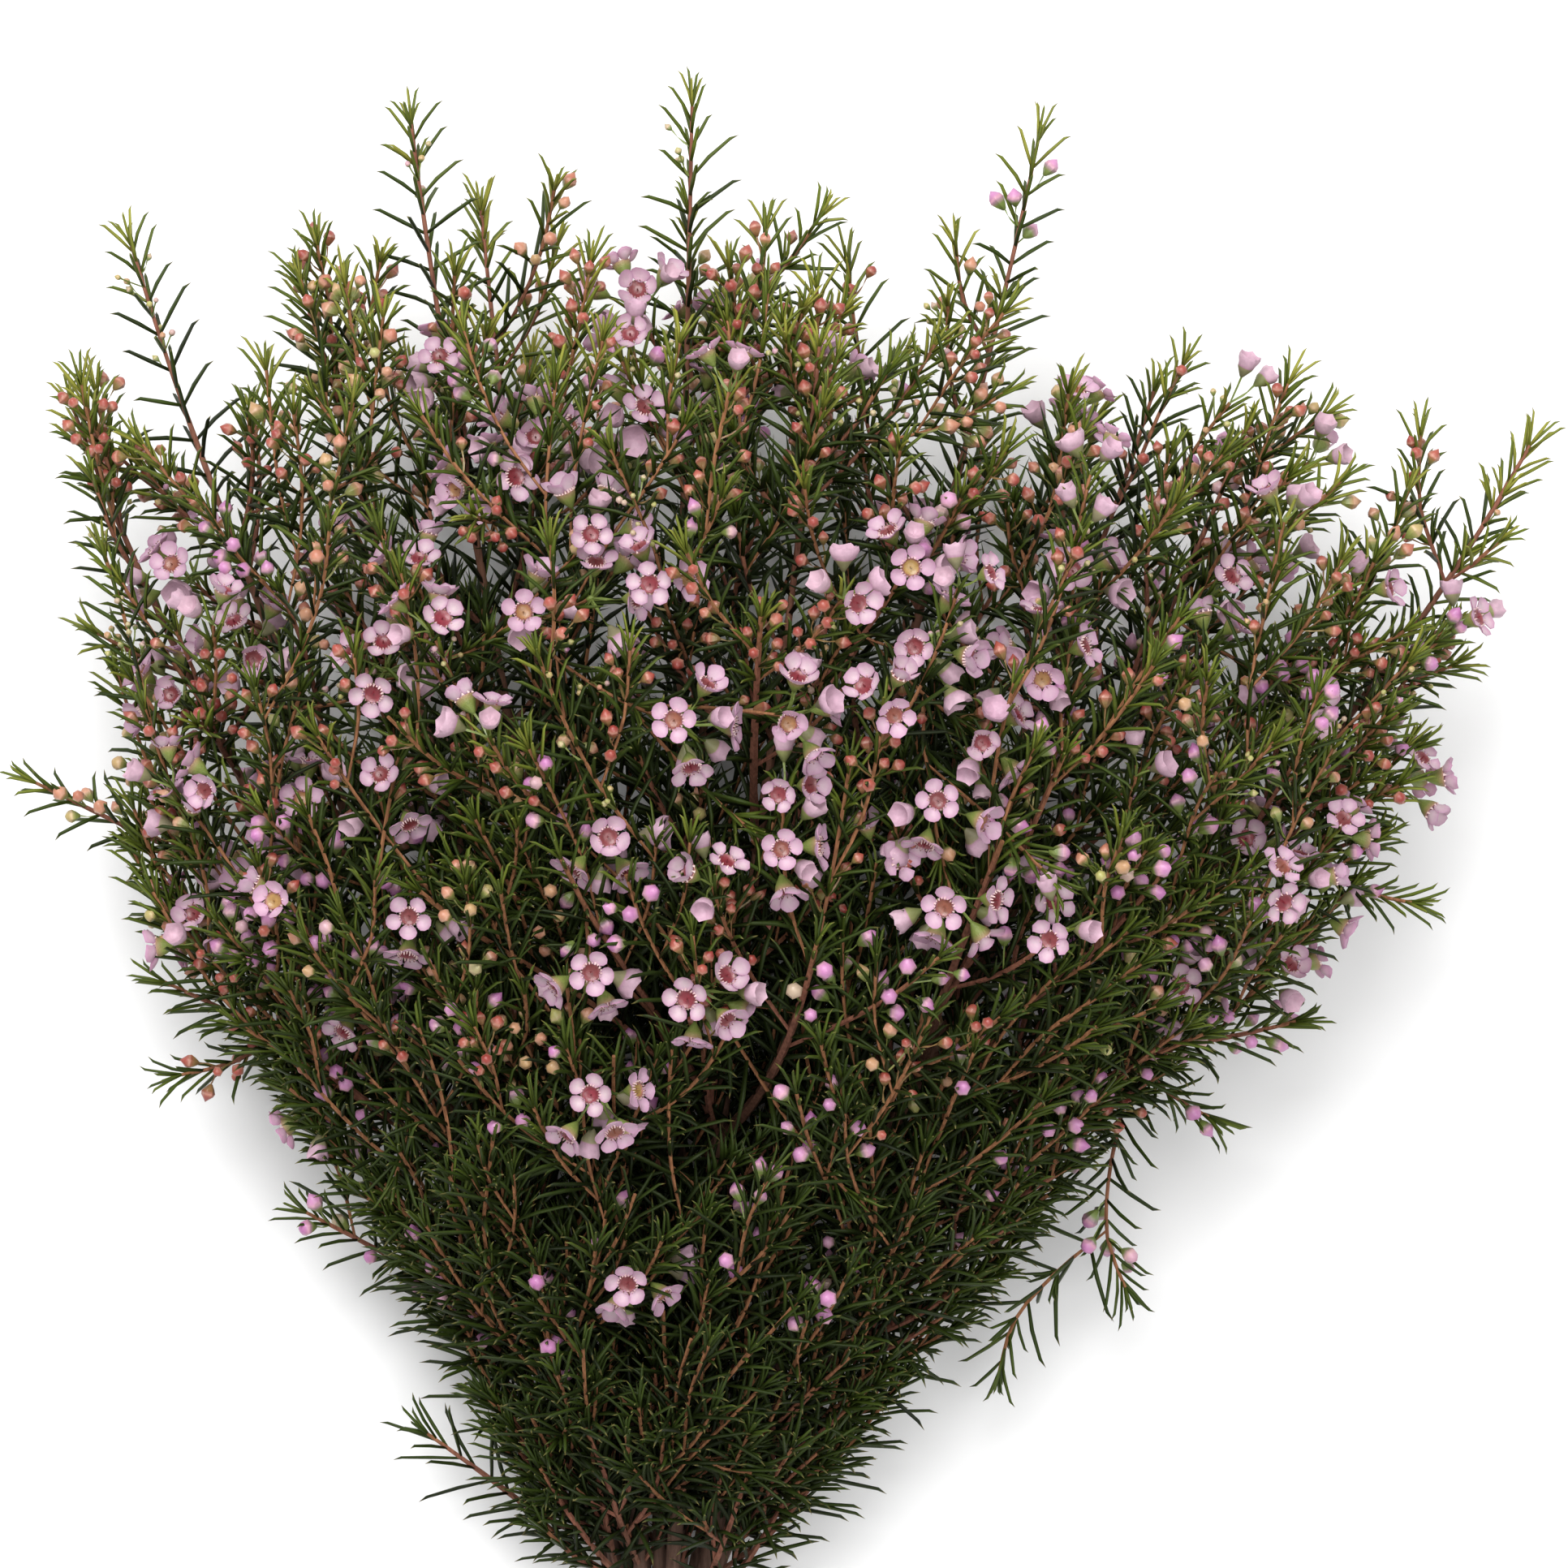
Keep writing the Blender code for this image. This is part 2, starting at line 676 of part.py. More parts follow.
def stations(shoot, number):
    """Where a shoot has a ring or a pair along it, each with its kind: bare, needles or buds."""
    draw = random.Random(f"{SEED} stations {number}")
    places = shoot.lengths[1:-1]
    if shoot.length - places[-1] > 2 * LAST_PAIR:
        places = places + [shoot.length - LAST_PAIR]
    for at in places:
        near_tip = 0.45 * shoot.length < at < shoot.length - 2 * LAST_PAIR
        if number == shoot.stem and at < shoot.length * STEM_LEAVES_FROM:
            yield at, "bare"
        elif near_tip and shoot.place(at)[0].y > BUDS_FROM and draw.random() < BUD_SHARE:
            yield at, "buds"
        else:
            yield at, "needles"


def raise_pair(bm, sides, first, kind, shoot, at, draw, space):
    """Raises two opposite needles or buds from side faces, where they are clear of other nodes."""
    second = (first + len(sides) // 2) % len(sides)
    point, direction, radius = shoot.place(at)
    across = (sides[first].normal - sides[second].normal).normalized()
    to_tip = min(1.0, (shoot.length - at) / SHORT_NEEDLES)
    for face, side in ((sides[first], across), (sides[second], -across)):
        if kind == "needles":
            spread = NEEDLE_SPREAD_AT_TIP + (NEEDLE_SPREAD - NEEDLE_SPREAD_AT_TIP) * to_tip
            length = NEEDLE_LENGTH * (0.72 + 0.28 * to_tip)
        else:
            spread, length = BUD_SPREAD, BUD_STALK
        spread *= draw.uniform(0.85, 1.2)
        length *= draw.uniform(0.85, 1.15)
        size = BUD_RADIUS * draw.uniform(0.80, 1.15)
        way = direction * math.cos(spread) + side * math.sin(spread)
        root = face.calc_center_median()
        end = root + way * length
        rods = [(root, end, NEEDLE_RADIUS)]
        if kind == "buds":
            rods = [(root, end, NEEDLE_RADIUS), (end - way * size / 3, end + way * size / 3, size)]
        if root.y < NEEDLES_FROM or not space.is_clear(rods, shoot.stem):
            continue
        space.add(rods, shoot.stem)
        if kind == "buds":
            crown = grow_face(bm, face, end, way, size)
            raise_tip(bm, crown, end + way * size * 0.9)
        else:
            raise_tip(bm, face, end)


def shoot_mesh(shoot, number, sides, space):
    """A stem or side shoot with the needles and buds raised from its sides."""
    bm = bmesh.new()
    draw = random.Random(f"{SEED} leaves {number}")
    stops = list(stations(shoot, number))
    point, _, radius = shoot.place(stops[0][0])
    if number == shoot.stem:
        root, corner = radius, shoot.points[1] - BUNDLE_MIDDLE
    else:
        root, corner = radius * ROOT_SHARE, sideways(shoot.points[1] - shoot.points[0])
    end = closed_rod(bm, shoot.points[0], point, root, radius, sides, corner)
    for order, (at, kind) in enumerate(stops):
        if order:
            point, direction, radius = shoot.place(at)
            end = grow_face(bm, end, point, direction, radius)
        if kind == "bare":
            continue
        point, direction, radius = shoot.place(at + PAIR_FOOT)
        end = grow_face(bm, end, point, direction, radius)
        faces = [face for edge in end.edges for face in edge.link_faces if face != end]
        for face in faces:
            face.normal_update()
        raise_pair(bm, faces, order % sides, kind, shoot, at, draw, space)
    point, direction, radius = shoot.place(shoot.length)
    if shoot.carries_flowers:
        grow_face(bm, end, point, direction, radius)
    else:
        raise_tip(bm, end, point)
    bmesh.ops.triangulate(bm, faces=bm.faces)
    return mesh_from("shoot", bm)


def fuse(base, repeats):
    """One Boolean union of an object with a collection of repeats, applied, with the repeats removed."""
    union = base.modifiers.new("grown_together", "BOOLEAN")
    union.operation = "UNION"
    union.operand_type = "COLLECTION"
    union.collection = repeats
    union.solver = "MANIFOLD"
    graph = bpy.context.evaluated_depsgraph_get()
    mesh = bpy.data.meshes.new_from_object(base.evaluated_get(graph))
    base.modifiers.clear()
    base.data = mesh
    for made in list(repeats.objects):
        bpy.data.objects.remove(made)
    bpy.data.collections.remove(repeats)


def material(name, colour, roughness):
    made = bpy.data.materials.new(name)
    made.use_nodes = True
    shader = made.node_tree.nodes["Principled BSDF"]
    shader.inputs["Base Color"].default_value = (*colour, 1.0)
    shader.inputs["Roughness"].default_value = roughness
    shader.inputs["Metallic"].default_value = 0.0
    return made


def new_collection(name):
    made = bpy.data.collections.new(name)
    bpy.context.scene.collection.children.link(made)
    return made


def finish(made, finish_material):
    made.data.materials.clear()
    made.data.materials.append(finish_material)


def build_stem(bunch, stem, parts, wood_and_leaf):
    """A leafy stem: its axis with every side shoot fused to it, each with its needles and buds."""
    axis = shoot_mesh(bunch.shoots[stem], stem, STEM_SIDES, bunch.space)
    base = link(f"leafy_stem_{stem + 1:02d}", axis, parts)
    repeats = new_collection("repeats")
    for number, shoot in enumerate(bunch.shoots):
        if shoot.stem == stem and number != stem:
            link("side_shoot", shoot_mesh(shoot, number, SHOOT_SIDES, bunch.space), repeats)
    fuse(base, repeats)
    finish(base, wood_and_leaf)


def build_cluster(number, foot, flowers, parts, pink):
    """A flower cluster: a knob that sits on its twig, with the flowers grown from its faces."""
    point, direction = foot
    bm = bmesh.new()
    sides = 3 if len(flowers) == 3 else 4
    knob_end = point + direction * KNOB_LENGTH
    top = closed_rod(bm, point, knob_end, KNOB_RADIUS, KNOB_RADIUS, sides, sideways(direction))
    free = [face for face in bm.faces if face == top or abs(face.normal.dot(direction)) < 0.5]
    chosen = []
    for _, middle, axis, roll in sorted(flowers, key=lambda flower: -flower[2].dot(direction)):
        face = max(free, key=lambda face: face.normal.dot(axis))
        free.remove(face)
        chosen.append((face, middle, axis, roll))
    for face, middle, axis, roll in chosen:
        grow_flower(bm, face, middle, axis, roll)
    bmesh.ops.triangulate(bm, faces=bm.faces)
    bmesh.ops.recalc_face_normals(bm, faces=bm.faces)
    cluster = link(f"flower_cluster_{number + 1:02d}", mesh_from("cluster", bm), parts)
    finish(cluster, pink)


def build_band(parts, rubber):
    """The rubber band: flat strands wound round the bundle, turned as one ring with a flat underside."""
    width = BAND_STRANDS * BAND_STRAND + (BAND_STRANDS - 1) * BAND_GROOVE
    corner = 1 / math.cos(math.pi / BAND_SIDES)
    outside = BAND_APOTHEM * corner
    groove = (BAND_INSIDE + 0.5 * BAND_THICKNESS) * corner
    inside = BAND_INSIDE * corner
    profile = []
    at = width / 2
    for strand in range(BAND_STRANDS):
        profile += [(outside, at), (outside, at - BAND_STRAND)]
        at -= BAND_STRAND
        if strand < BAND_STRANDS - 1:
            profile += [(groove, at), (groove, at - BAND_GROOVE)]
            at -= BAND_GROOVE
    profile += [(inside, at), (inside, width / 2)]
    bm = bmesh.new()
    ring_of(bm, [(radius, 0.0, height) for radius, height in profile])
    band = link("rubber_band", mesh_from("rubber_band", bm), parts)
    turn = band.modifiers.new("turned", "SCREW")
    turn.axis = "Z"
    turn.steps = turn.render_steps = BAND_SIDES
    turn.use_merge_vertices = True
    turn.merge_threshold = 0.01 * MM
    half_side = math.pi / BAND_SIDES
    band.matrix_world = (
        Matrix.Translation(BUNDLE_MIDDLE)
        @ Matrix.Rotation(math.pi / 2, 4, "X")
        @ Matrix.Rotation(half_side, 4, "Z")
    )
    finish(band, rubber)


def main():
    for made in list(bpy.data.objects):
        bpy.data.objects.remove(made)
    parts = new_collection("waxflower_bunch")
    leaf = material("stems_and_leaves", (0.060, 0.095, 0.030), 0.55)
    pink = material("pink_flowers", (0.620, 0.400, 0.500), 0.60)
    rubber = material("rubber_band", (0.560, 0.420, 0.270), 0.65)
    bunch = Bunch().grow(FILL_SHOOTS)
    for stem in range(len(INNER_TIPS) + len(OUTER_TIPS)):
        build_stem(bunch, stem, parts, leaf)
    for number, foot, flowers in bunch.clusters:
        build_cluster(number, foot, flowers, parts, pink)
    build_band(parts, rubber)


main()
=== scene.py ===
"""The looks of a tied bunch of pink waxflower, laid down on a table.

The bunch lies along Y with its cut ends at -Y and its flowering tips at +Y. The table is the
plane Z = 0, and the origin is the middle of the rubber band's flat underside. Lengths are in
metres and angles in radians. The stems, side shoots and flowers grow here by the same rules and
the same draws as in the solids, so that each piece lies where its solid is. More leafy shoots
then fill the bunch, and every shoot gets its bark, its needle leaves and its buds.
"""

import math
import random

import bmesh
import bpy
import numpy as np
from mathutils import Matrix, Quaternion, Vector


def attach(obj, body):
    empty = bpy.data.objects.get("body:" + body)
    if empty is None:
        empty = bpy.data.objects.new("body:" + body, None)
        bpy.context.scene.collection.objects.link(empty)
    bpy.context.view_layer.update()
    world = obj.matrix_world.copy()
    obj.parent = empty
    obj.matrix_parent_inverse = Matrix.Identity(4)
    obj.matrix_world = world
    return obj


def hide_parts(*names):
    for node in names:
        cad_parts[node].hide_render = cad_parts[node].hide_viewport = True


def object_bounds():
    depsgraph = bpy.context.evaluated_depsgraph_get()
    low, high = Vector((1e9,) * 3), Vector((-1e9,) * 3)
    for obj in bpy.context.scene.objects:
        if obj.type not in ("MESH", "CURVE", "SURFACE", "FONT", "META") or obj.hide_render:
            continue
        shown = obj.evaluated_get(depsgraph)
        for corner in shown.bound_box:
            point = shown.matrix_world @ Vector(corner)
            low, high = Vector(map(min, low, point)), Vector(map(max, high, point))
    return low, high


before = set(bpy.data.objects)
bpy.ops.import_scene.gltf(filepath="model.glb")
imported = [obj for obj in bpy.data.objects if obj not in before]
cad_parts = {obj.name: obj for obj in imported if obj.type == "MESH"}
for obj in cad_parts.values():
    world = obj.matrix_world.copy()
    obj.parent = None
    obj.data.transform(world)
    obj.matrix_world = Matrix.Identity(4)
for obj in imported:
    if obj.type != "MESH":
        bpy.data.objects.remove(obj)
CAD_LOW, CAD_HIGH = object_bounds()

MM = 0.001
UP = Vector((0.0, 0.0, 1.0))
ALONG = Vector((0.0, 1.0, 0.0))
ACROSS = Vector((1.0, 0.0, 0.0))

# The rubber band and the bundle of stems in it
INNER_RING = (3, 2.53 * MM, 90.0)  # stems, distance from the bundle's middle, first angle in degrees
OUTER_RING = (9, 6.9 * MM, -10.0)
STEM_RADIUS = 2.3 * MM
BAND_CLEARANCE = 0.4 * MM
BAND_STRAND = 3.2 * MM
BAND_STRANDS = 3
BAND_GROOVE = 0.8 * MM
BAND_THICKNESS = 2.2 * MM
BAND_EDGES = 16  # corners round a strand's section
BAND_STEPS = 72  # sections round the band
BUNDLE_RADIUS = OUTER_RING[1] + STEM_RADIUS
BAND_INSIDE = BUNDLE_RADIUS + BAND_CLEARANCE
BAND_APOTHEM = BAND_INSIDE + BAND_THICKNESS
BUNDLE_MIDDLE = Vector((0.0, 0.0, BAND_APOTHEM))
STRAIGHT_HALF = 12.0 * MM  # the stems run parallel this far each side of the band's middle
CUT_END = 85.0 * MM  # cut ends lie this far below the band
CUT_SPREAD = 1.3  # how far the bundle opens again at its cut ends

# Outline of the leafy mass seen from above: distance along Y, left edge, right edge
OUTLINE = (
    (0.030, -0.022, 0.022),
    (0.070, -0.040, 0.036),
    (0.130, -0.060, 0.088),
    (0.190, -0.100, 0.132),
    (0.245, -0.141, 0.196),
    (0.330, -0.160, 0.228),
    (0.390, -0.160, 0.206),
    (0.418, -0.142, 0.114),
    (0.440, -0.095, 0.070),
)
# Height of the leafy mass: distance along Y, middle height, top height
HEIGHTS = (
    (0.030, 0.016, 0.034),
    (0.070, 0.022, 0.056),
    (0.130, 0.036, 0.092),
    (0.190, 0.048, 0.124),
    (0.245, 0.058, 0.150),
    (0.330, 0.068, 0.172),
    (0.390, 0.070, 0.164),
    (0.440, 0.066, 0.128),
    (0.510, 0.060, 0.090),
)

# Each stem's tip: X, Y and share of the depth, from 0 underneath to 1 on top
INNER_TIPS = (
    (0.011, 0.500, 0.55),
    (-0.053, 0.470, 0.34),
    (0.115, 0.490, 0.45),
)
OUTER_TIPS = (
    (0.262, 0.398, 0.50),
    (0.176, 0.402, 0.82),
    (0.049, 0.425, 0.95),
    (-0.073, 0.494, 0.72),
    (-0.157, 0.458, 0.62),
    (-0.175, 0.410, 0.40),
    (-0.100, 0.440, 0.12),
    (0.020, 0.436, 0.06),
    (0.150, 0.415, 0.14),
)
STEMS = len(INNER_TIPS) + len(OUTER_TIPS)
# Leafy side shoots, placed as the stems' tips are: most stand out of the outline, and the last two
# lie on the table
LEADERS = (
    (0.049, 0.466, 0.60),
    (0.158, 0.422, 0.62),
    (0.229, 0.401, 0.55),
    (0.252, 0.369, 0.62),
    (-0.030, 0.474, 0.66),
    (-0.106, 0.446, 0.56),
    (-0.186, 0.297, 0.50),
    (-0.154, 0.278, 0.40),
    (-0.167, 0.342, 0.52),
    (-0.148, 0.237, 0.42),
    (-0.143, 0.209, 0.55),
    (-0.106, 0.167, 0.50),
    (-0.070, 0.099, 0.50),
    (0.215, 0.281, 0.50),
    (0.227, 0.261, 0.60),
    (0.193, 0.225, 0.45),
    (0.167, 0.196, 0.50),
    (0.142, 0.144, 0.50),
    (0.104, 0.118, 0.42),
    (0.067, 0.108, 0.55),
    (0.239, 0.332, 0.45),
    (-0.121, 0.406, 0.66),
    (0.090, 0.458, 0.70),
    (-0.088, 0.385, -0.2),
    (0.112, 0.372, -0.2),
)
# Clusters of open flowers: X, Y, share of the depth, number of flowers
CLUSTERS = (
    (-0.149, 0.367, 0.52, 5),
    (-0.154, 0.326, 0.48, 5),
    (-0.132, 0.344, 0.70, 5),
    (-0.087, 0.337, 0.90, 5),
    (-0.045, 0.353, 0.92, 2),
    (-0.115, 0.292, 0.76, 4),
    (-0.087, 0.299, 0.88, 2),
    (-0.130, 0.270, 0.55, 2),
    (-0.080, 0.266, 0.92, 2),
    (-0.146, 0.258, 0.50, 3),
    (-0.096, 0.239, 0.74, 2),
    (-0.114, 0.204, 0.70, 1),
    (-0.066, 0.431, 0.60, 2),
    (-0.037, 0.408, 0.78, 4),
    (-0.052, 0.396, 0.80, 4),
    (-0.007, 0.413, 0.74, 3),
    (-0.023, 0.377, 0.90, 4),
    (-0.022, 0.360, 0.92, 3),
    (-0.003, 0.452, 0.60, 4),
    (0.055, 0.424, 0.76, 3),
    (0.077, 0.369, 0.94, 4),
    (0.131, 0.365, 0.80, 3),
    (0.119, 0.340, 0.90, 4),
    (0.081, 0.345, 0.96, 3),
    (0.100, 0.317, 0.94, 3),
    (0.006, 0.320, 1.00, 4),
    (0.038, 0.322, 1.00, 4),
    (0.035, 0.282, 1.00, 3),
    (0.087, 0.296, 0.98, 3),
    (0.092, 0.269, 0.98, 4),
    (-0.019, 0.286, 0.97, 3),
    (-0.022, 0.249, 1.00, 3),
    (0.012, 0.241, 1.00, 5),
    (-0.020, 0.210, 1.00, 5),
    (-0.010, 0.158, 0.98, 3),
    (0.204, 0.324, 0.58, 2),
    (0.187, 0.281, 0.58, 3),
    (0.167, 0.239, 0.62, 3),
    (0.198, 0.240, 0.50, 2),
    (0.175, 0.363, 0.64, 2),
    (-0.098, 0.372, 0.10, 4),
    (-0.020, 0.396, 0.06, 4),
    (0.082, 0.378, 0.08, 4),
    (0.160, 0.330, 0.10, 4),
    (0.060, 0.300, 0.03, 3),
    (-0.075, 0.285, 0.05, 3),
    (0.110, 0.235, 0.10, 3),
)
FILL_SHOOTS = 46

# Woody parts
STEM_TIP_RADIUS = 0.55 * MM
STEM_LEAVES_FROM = 0.60  # share of a stem below which it is bare
BARE_STEP = 3  # below there only one in this many of a stem's centreline points is kept
STEM_MOUNTS_FROM = 0.20  # share of a stem below which no side shoot leaves it
SHOOT_MOUNTS_FROM = 0.12
LOWEST_MOUNT = 0.045
MOUNT_SPACING = 9.0 * MM
ROUTE_STEP = 19.0 * MM  # between the points of a centreline
SHOOT_TIP_RADIUS = 0.45 * MM
SHOOT_BASE_RADIUS = 0.65 * MM
SHOOT_GIRTH = 0.0060  # extra base radius for each metre of length
SHORTEST_SHOOT = 14.0 * MM
LAST_MOUNT = 0.93  # share of a shoot beyond which nothing leaves it
NEAREST_MOUNTS = 60  # of the mounts, how many a new shoot tries
EASY_ANGLES = (16.0, 42.0)  # degrees between a side shoot and its parent that cost nothing
BULGES = (0.0, 0.5, -0.5, 1.0, -1.0, 1.6, -1.6)  # turns of a side shoot's bend that are tried
FILL_ACROSS = (0.075, 0.440)  # between these distances along Y
FILL_DEPTHS = ((0.0, 1.0),)
FILL_ROOM = 11.0 * MM  # least room round the end of a shoot that fills the leafy mass
FILL_TRIES = 10

# Clusters of open flowers
CLUSTER_DEPTH = 15.0 * MM  # from a cluster's flowers back to its twig's end
LOWEST_CLUSTER = 9.0 * MM
PEDICEL_LENGTH = 15.0 * MM
PEDICEL_RADIUS = 0.55 * MM
CLUSTER_TILTS = (0.0, 34.0, 41.0, 49.0, 57.0)  # lean of the flowers in a cluster of 1, 2, 3, 4 and 5
FLOWER_RADIUS = 6.9 * MM
PETALS = 5
PETAL_RISE = 1.9 * MM
PETAL_ROOM = 2.2 * MM  # radius of the rod that stands for a petal
CUP_RADIUS = 2.5 * MM
CLUSTER_TRIES = 8  # places that are tried for a cluster
TURN_TRIES = 10  # turns of its ring of flowers that are tried there
FLOWER_TRIES = 5  # leans that are tried for each flower
SEAT_GAP = 0.3 * MM  # between a cluster's foot and the twig that carries it
KNOB_RADIUS = 0.9 * MM
KNOB_LENGTH = 2.0 * MM

CLEARANCE = 0.45 * MM  # least distance between what grows on different stems
SEED = "waxflower"

# More leafy shoots, which thicken the leafy mass. Depths are shares, from 0 underneath to 1 on top
SPRAYS = 700
SPRAY_MOUNTS = 18  # of the mounts, how many such a shoot tries
SPRAY_TRIES = 12
SPRAY_ROOM = 2.6 * MM
SPRAY_ACROSS = (0.070, 0.430)  # between these distances along Y
SPRAY_DEPTHS = ((0.6, 1.0), (0.4, 1.0), (0.0, 0.6))
SPRAY_LENGTHS = (26.0 * MM, 62.0 * MM)  # least length of such a shoot
LOOSE_FROM = 0.27  # the shoots stand looser and looser beyond here
LOOSE_ROOM = 14.0 * MM  # more room between the shoots where they end
NECK_SHOOTS = 150  # leafy shoots that hide the stems in the lower half
NECK_ACROSS = (0.085, 0.270)
NECK_DEPTHS = ((0.75, 1.0), (0.55, 1.0), (0.0, 0.4))
NECK_LENGTH = 50.0 * MM
COLLAR_SHOOTS = 60  # short leafy shoots just above the band
COLLAR_ACROSS = (0.066, 0.125)
COLLAR_DEPTHS = ((0.3, 1.0),)
COLLAR_LENGTH = 18.0 * MM
SPIKES = 80  # thin leafy shoots that stand out of the leafy mass all round
SPIKE_AT_LEFT, SPIKE_AT_SIDES = 0.3, 0.6  # shares of them that stand out at the left, and at both sides
SPIKE_ACROSS = (0.12, 0.43)
SPIKE_AT_TOP = (0.40, 0.44)
SPIKE_DEPTHS = ((0.3, 0.8),)
SPIKE_REACH = (3.0 * MM, 30.0 * MM)
SPIKE_LENGTH = 42.0 * MM
# Long branches near the surface that show their bark, placed as the stems' tips are
LONG_BRANCHES = (
    (0.032, 0.345, 0.96),
    (-0.068, 0.265, 0.92),
    (0.102, 0.280, 0.96),
    (-0.026, 0.275, 1.00),
    (0.120, 0.305, 0.94),
    (0.048, 0.250, 1.00),
    (-0.110, 0.250, 0.80),
    (0.150, 0.270, 0.84),
    (-0.080, 0.340, 0.92),
)
LONG_BRANCH = 105.0 * MM  # least length of such a branch
LONG_BRANCH_BARE = (0.06, 0.62)  # shares of its length between which it has no leaves
FAN_COSINE = 0.80  # least cosine between an added shoot and the way the bunch fans out there

# Shading of every piece but the leaves, which are shaded flat
SHARP = math.radians(50.0)  # an edge this sharp isn't shaded smooth

# Bark
STEM_STEP = 8.0 * MM  # between the rings of corners along a stem's bark
SHOOT_STEP = 6.5 * MM
STEM_BARK_SIDES = 10
SHOOT_BARK_SIDES = 5
STOUT = 1.25  # how much thicker than its solid a side shoot is drawn
STOUT_BRANCH = 1.65  # the same for a long branch
STEM_SWELL = 0.45  # how much thicker than its solid a stem is drawn in its middle
SWELL_ALONG = ((0.04, 0.16, 0.30, 0.42), (0.0, 1.0, 0.8, 0.0))  # distances along Y, shares of it there
BARK_AGES = ((0.45 * MM, 0.52 * MM, 1.0 * MM, 2.2 * MM), (1.0, 0.85, 0.5, 0.0))  # radii, youth there
CUT_RIM = 0.35 * MM  # of bark round the wood of a cut end
CUT_WOOD = 1.3 * MM  # of wood round the pith

# Room that leaves, buds and shoots keep free: aside from a flower's axis, and how far before it
SHOOT_CLEAR = (7.0 * MM, 22.0 * MM)
LEAF_CLEAR = (6.2 * MM, 15.0 * MM)
BUD_CLEAR = (7.4 * MM, 12.0 * MM)
FLOWER_BACK = 4.5 * MM  # how far behind its middle a flower still takes this room
EDGE_ROOM = 8.0 * MM  # a needle or bud reaches no further than this out of the solids' box
LOWEST = 0.4 * MM  # a needle or bud that would reach lower is left out
PRESSED = 0.3 * MM  # what would still lie lower than this is pressed flat on the table

# Needle leaves: three-sided, in opposite pairs, each pair turned a quarter from the last
NEEDLE_FORMS = ((2.3, 0.9), (1.2, 1.1), (3.6, 0.7), (0.2, 1.0))  # bend and hook of a needle, in mm
NEEDLE_LENGTH = 19.0 * MM
NEEDLE_RADIUS = 0.78 * MM
NEEDLE_SPREAD = math.radians(48.0)
NEEDLE_SPREAD_AT_TIP = math.radians(20.0)
SHORT_NEEDLES = 30.0 * MM  # from a shoot's tip, where the leaves are younger
FIRST_PAIR = 7.0 * MM  # from a shoot's root
PAIR_SPACING = 5.6 * MM
PAIR_SPACING_AT_TIP = 3.0 * MM
NEEDLES_FROM = 0.030  # no needles nearer to the band than this
STEM_NEEDLES_FROM = 0.52  # share of a stem
LOW_DOWN = ((0.10, 0.30), (1.22, 1.0))  # distances along Y, length and spacing of the leaves there
LEAF_PAINTED_LIGHT = ((0.10, 0.22, 0.31, 0.42), (0.50, 0.68, 1.0, 1.15))  # distances along Y, lightness there: mostly painted shade low in the bunch and painted light near its top, partly the darker older foliage low down
TUFT_SHARE = 0.12  # pairs that have a tuft of short needles in each axil
CROWN_NEEDLES = 5  # round a shoot's tip
DEEP = 0.80  # how far out a leaf must be to show its hooked tip
QUARTER = math.tau / 4

# Buds on short stalks in the axils near a shoot's tip
BUD_ZONE = (7.0 * MM, 46.0 * MM)  # from the tip
BUD_STALK = 6.0 * MM
BUD_SPACING = 4.3 * MM
BUD_POINTS = (0.0, 0.35, 0.7)  # how far the dome's tip stands out, in mm, for each form of bud
BUD_LIP = 2.50  # height in mm at which the coloured dome starts
# The colour, size and share of the pairs that have some, for each kind of bud
CORAL = (0.14, 1.02, 0.46)
CREAM = (0.50, 1.14, 0.34)
MAUVE = (0.90, 1.32, 0.32)
YOUNG = (0.66, 0.55, 0.30)
NO_BUDS = (0.5, 1.0, 0.0)
# Up to which distance along Y, and there up to which luck each kind is drawn
BUD_KINDS = (
    (0.135, ((1.0, NO_BUDS),)),
    (0.20, ((0.25, MAUVE), (1.0, NO_BUDS))),
    (0.30, ((0.28, MAUVE), (0.45, CREAM), (0.55, CORAL), (1.0, NO_BUDS))),
    (math.inf, ((0.14, MAUVE), (0.32, CREAM), (0.78, CORAL), (1.0, YOUNG))),
)
BUDS_OUT = 0.62  # how far out a shoot's tip must be to carry buds

# Flowers on the tips of added shoots
BLOOM_SHARE = 0.19  # of these shoots, how many end in flowers
BLOOMS_FROM, BLOOMS_TO = 0.24, 0.45  # between these distances along Y
BLOOM_TRIES, MOST_BLOOMS = 14, 4  # on each tip
BLOOM_SPACING = 10.5 * MM
BLOOMS_OUT = 0.7  # how far out a shoot's tip must be to carry flowers
OPEN_SHARE = 0.62

# Half-open flowers in a cluster
FOLDED_TRIES, MOST_FOLDED = 40, 3  # in each cluster
FOLDED_SPACING = 9.6 * MM

# Forms of open and half-open flowers
LIFTS = (1.2, 2.0, 2.8, 1.5, 3.7, 4.6)  # how far the petals rise, in mm, for each form of open flower
LIFT_WEIGHTS_LOW = (5, 5, 4, 3, 2, 1)  # how common each form is in the lower part of the bunch
LIFT_WEIGHTS_HIGH = (2, 3, 5, 2, 6, 4)
LIFTED_FROM = 0.30  # distance along Y from which that part counts as the upper one
HALF_OPEN_FORMS = 3
PETAL_FOOT = 2.30 * MM  # from the flower's middle
PETAL_HALF_LENGTH = 2.55 * MM
PETAL_HALF_WIDTH = 3.00 * MM
PETAL_THICKNESS = 0.24 * MM
RIM_RADIUS = 3.05 * MM  # of the cup, where the petals and stamens stand
DISC_RADIUS = 2.85 * MM
STAMENS = 10
CUP_HEIGHT = 5.6 * MM
STALK_UP_TO = 5.4 * MM  # below an open flower's middle
FOLDED_STALK_UP_TO = 5.2 * MM

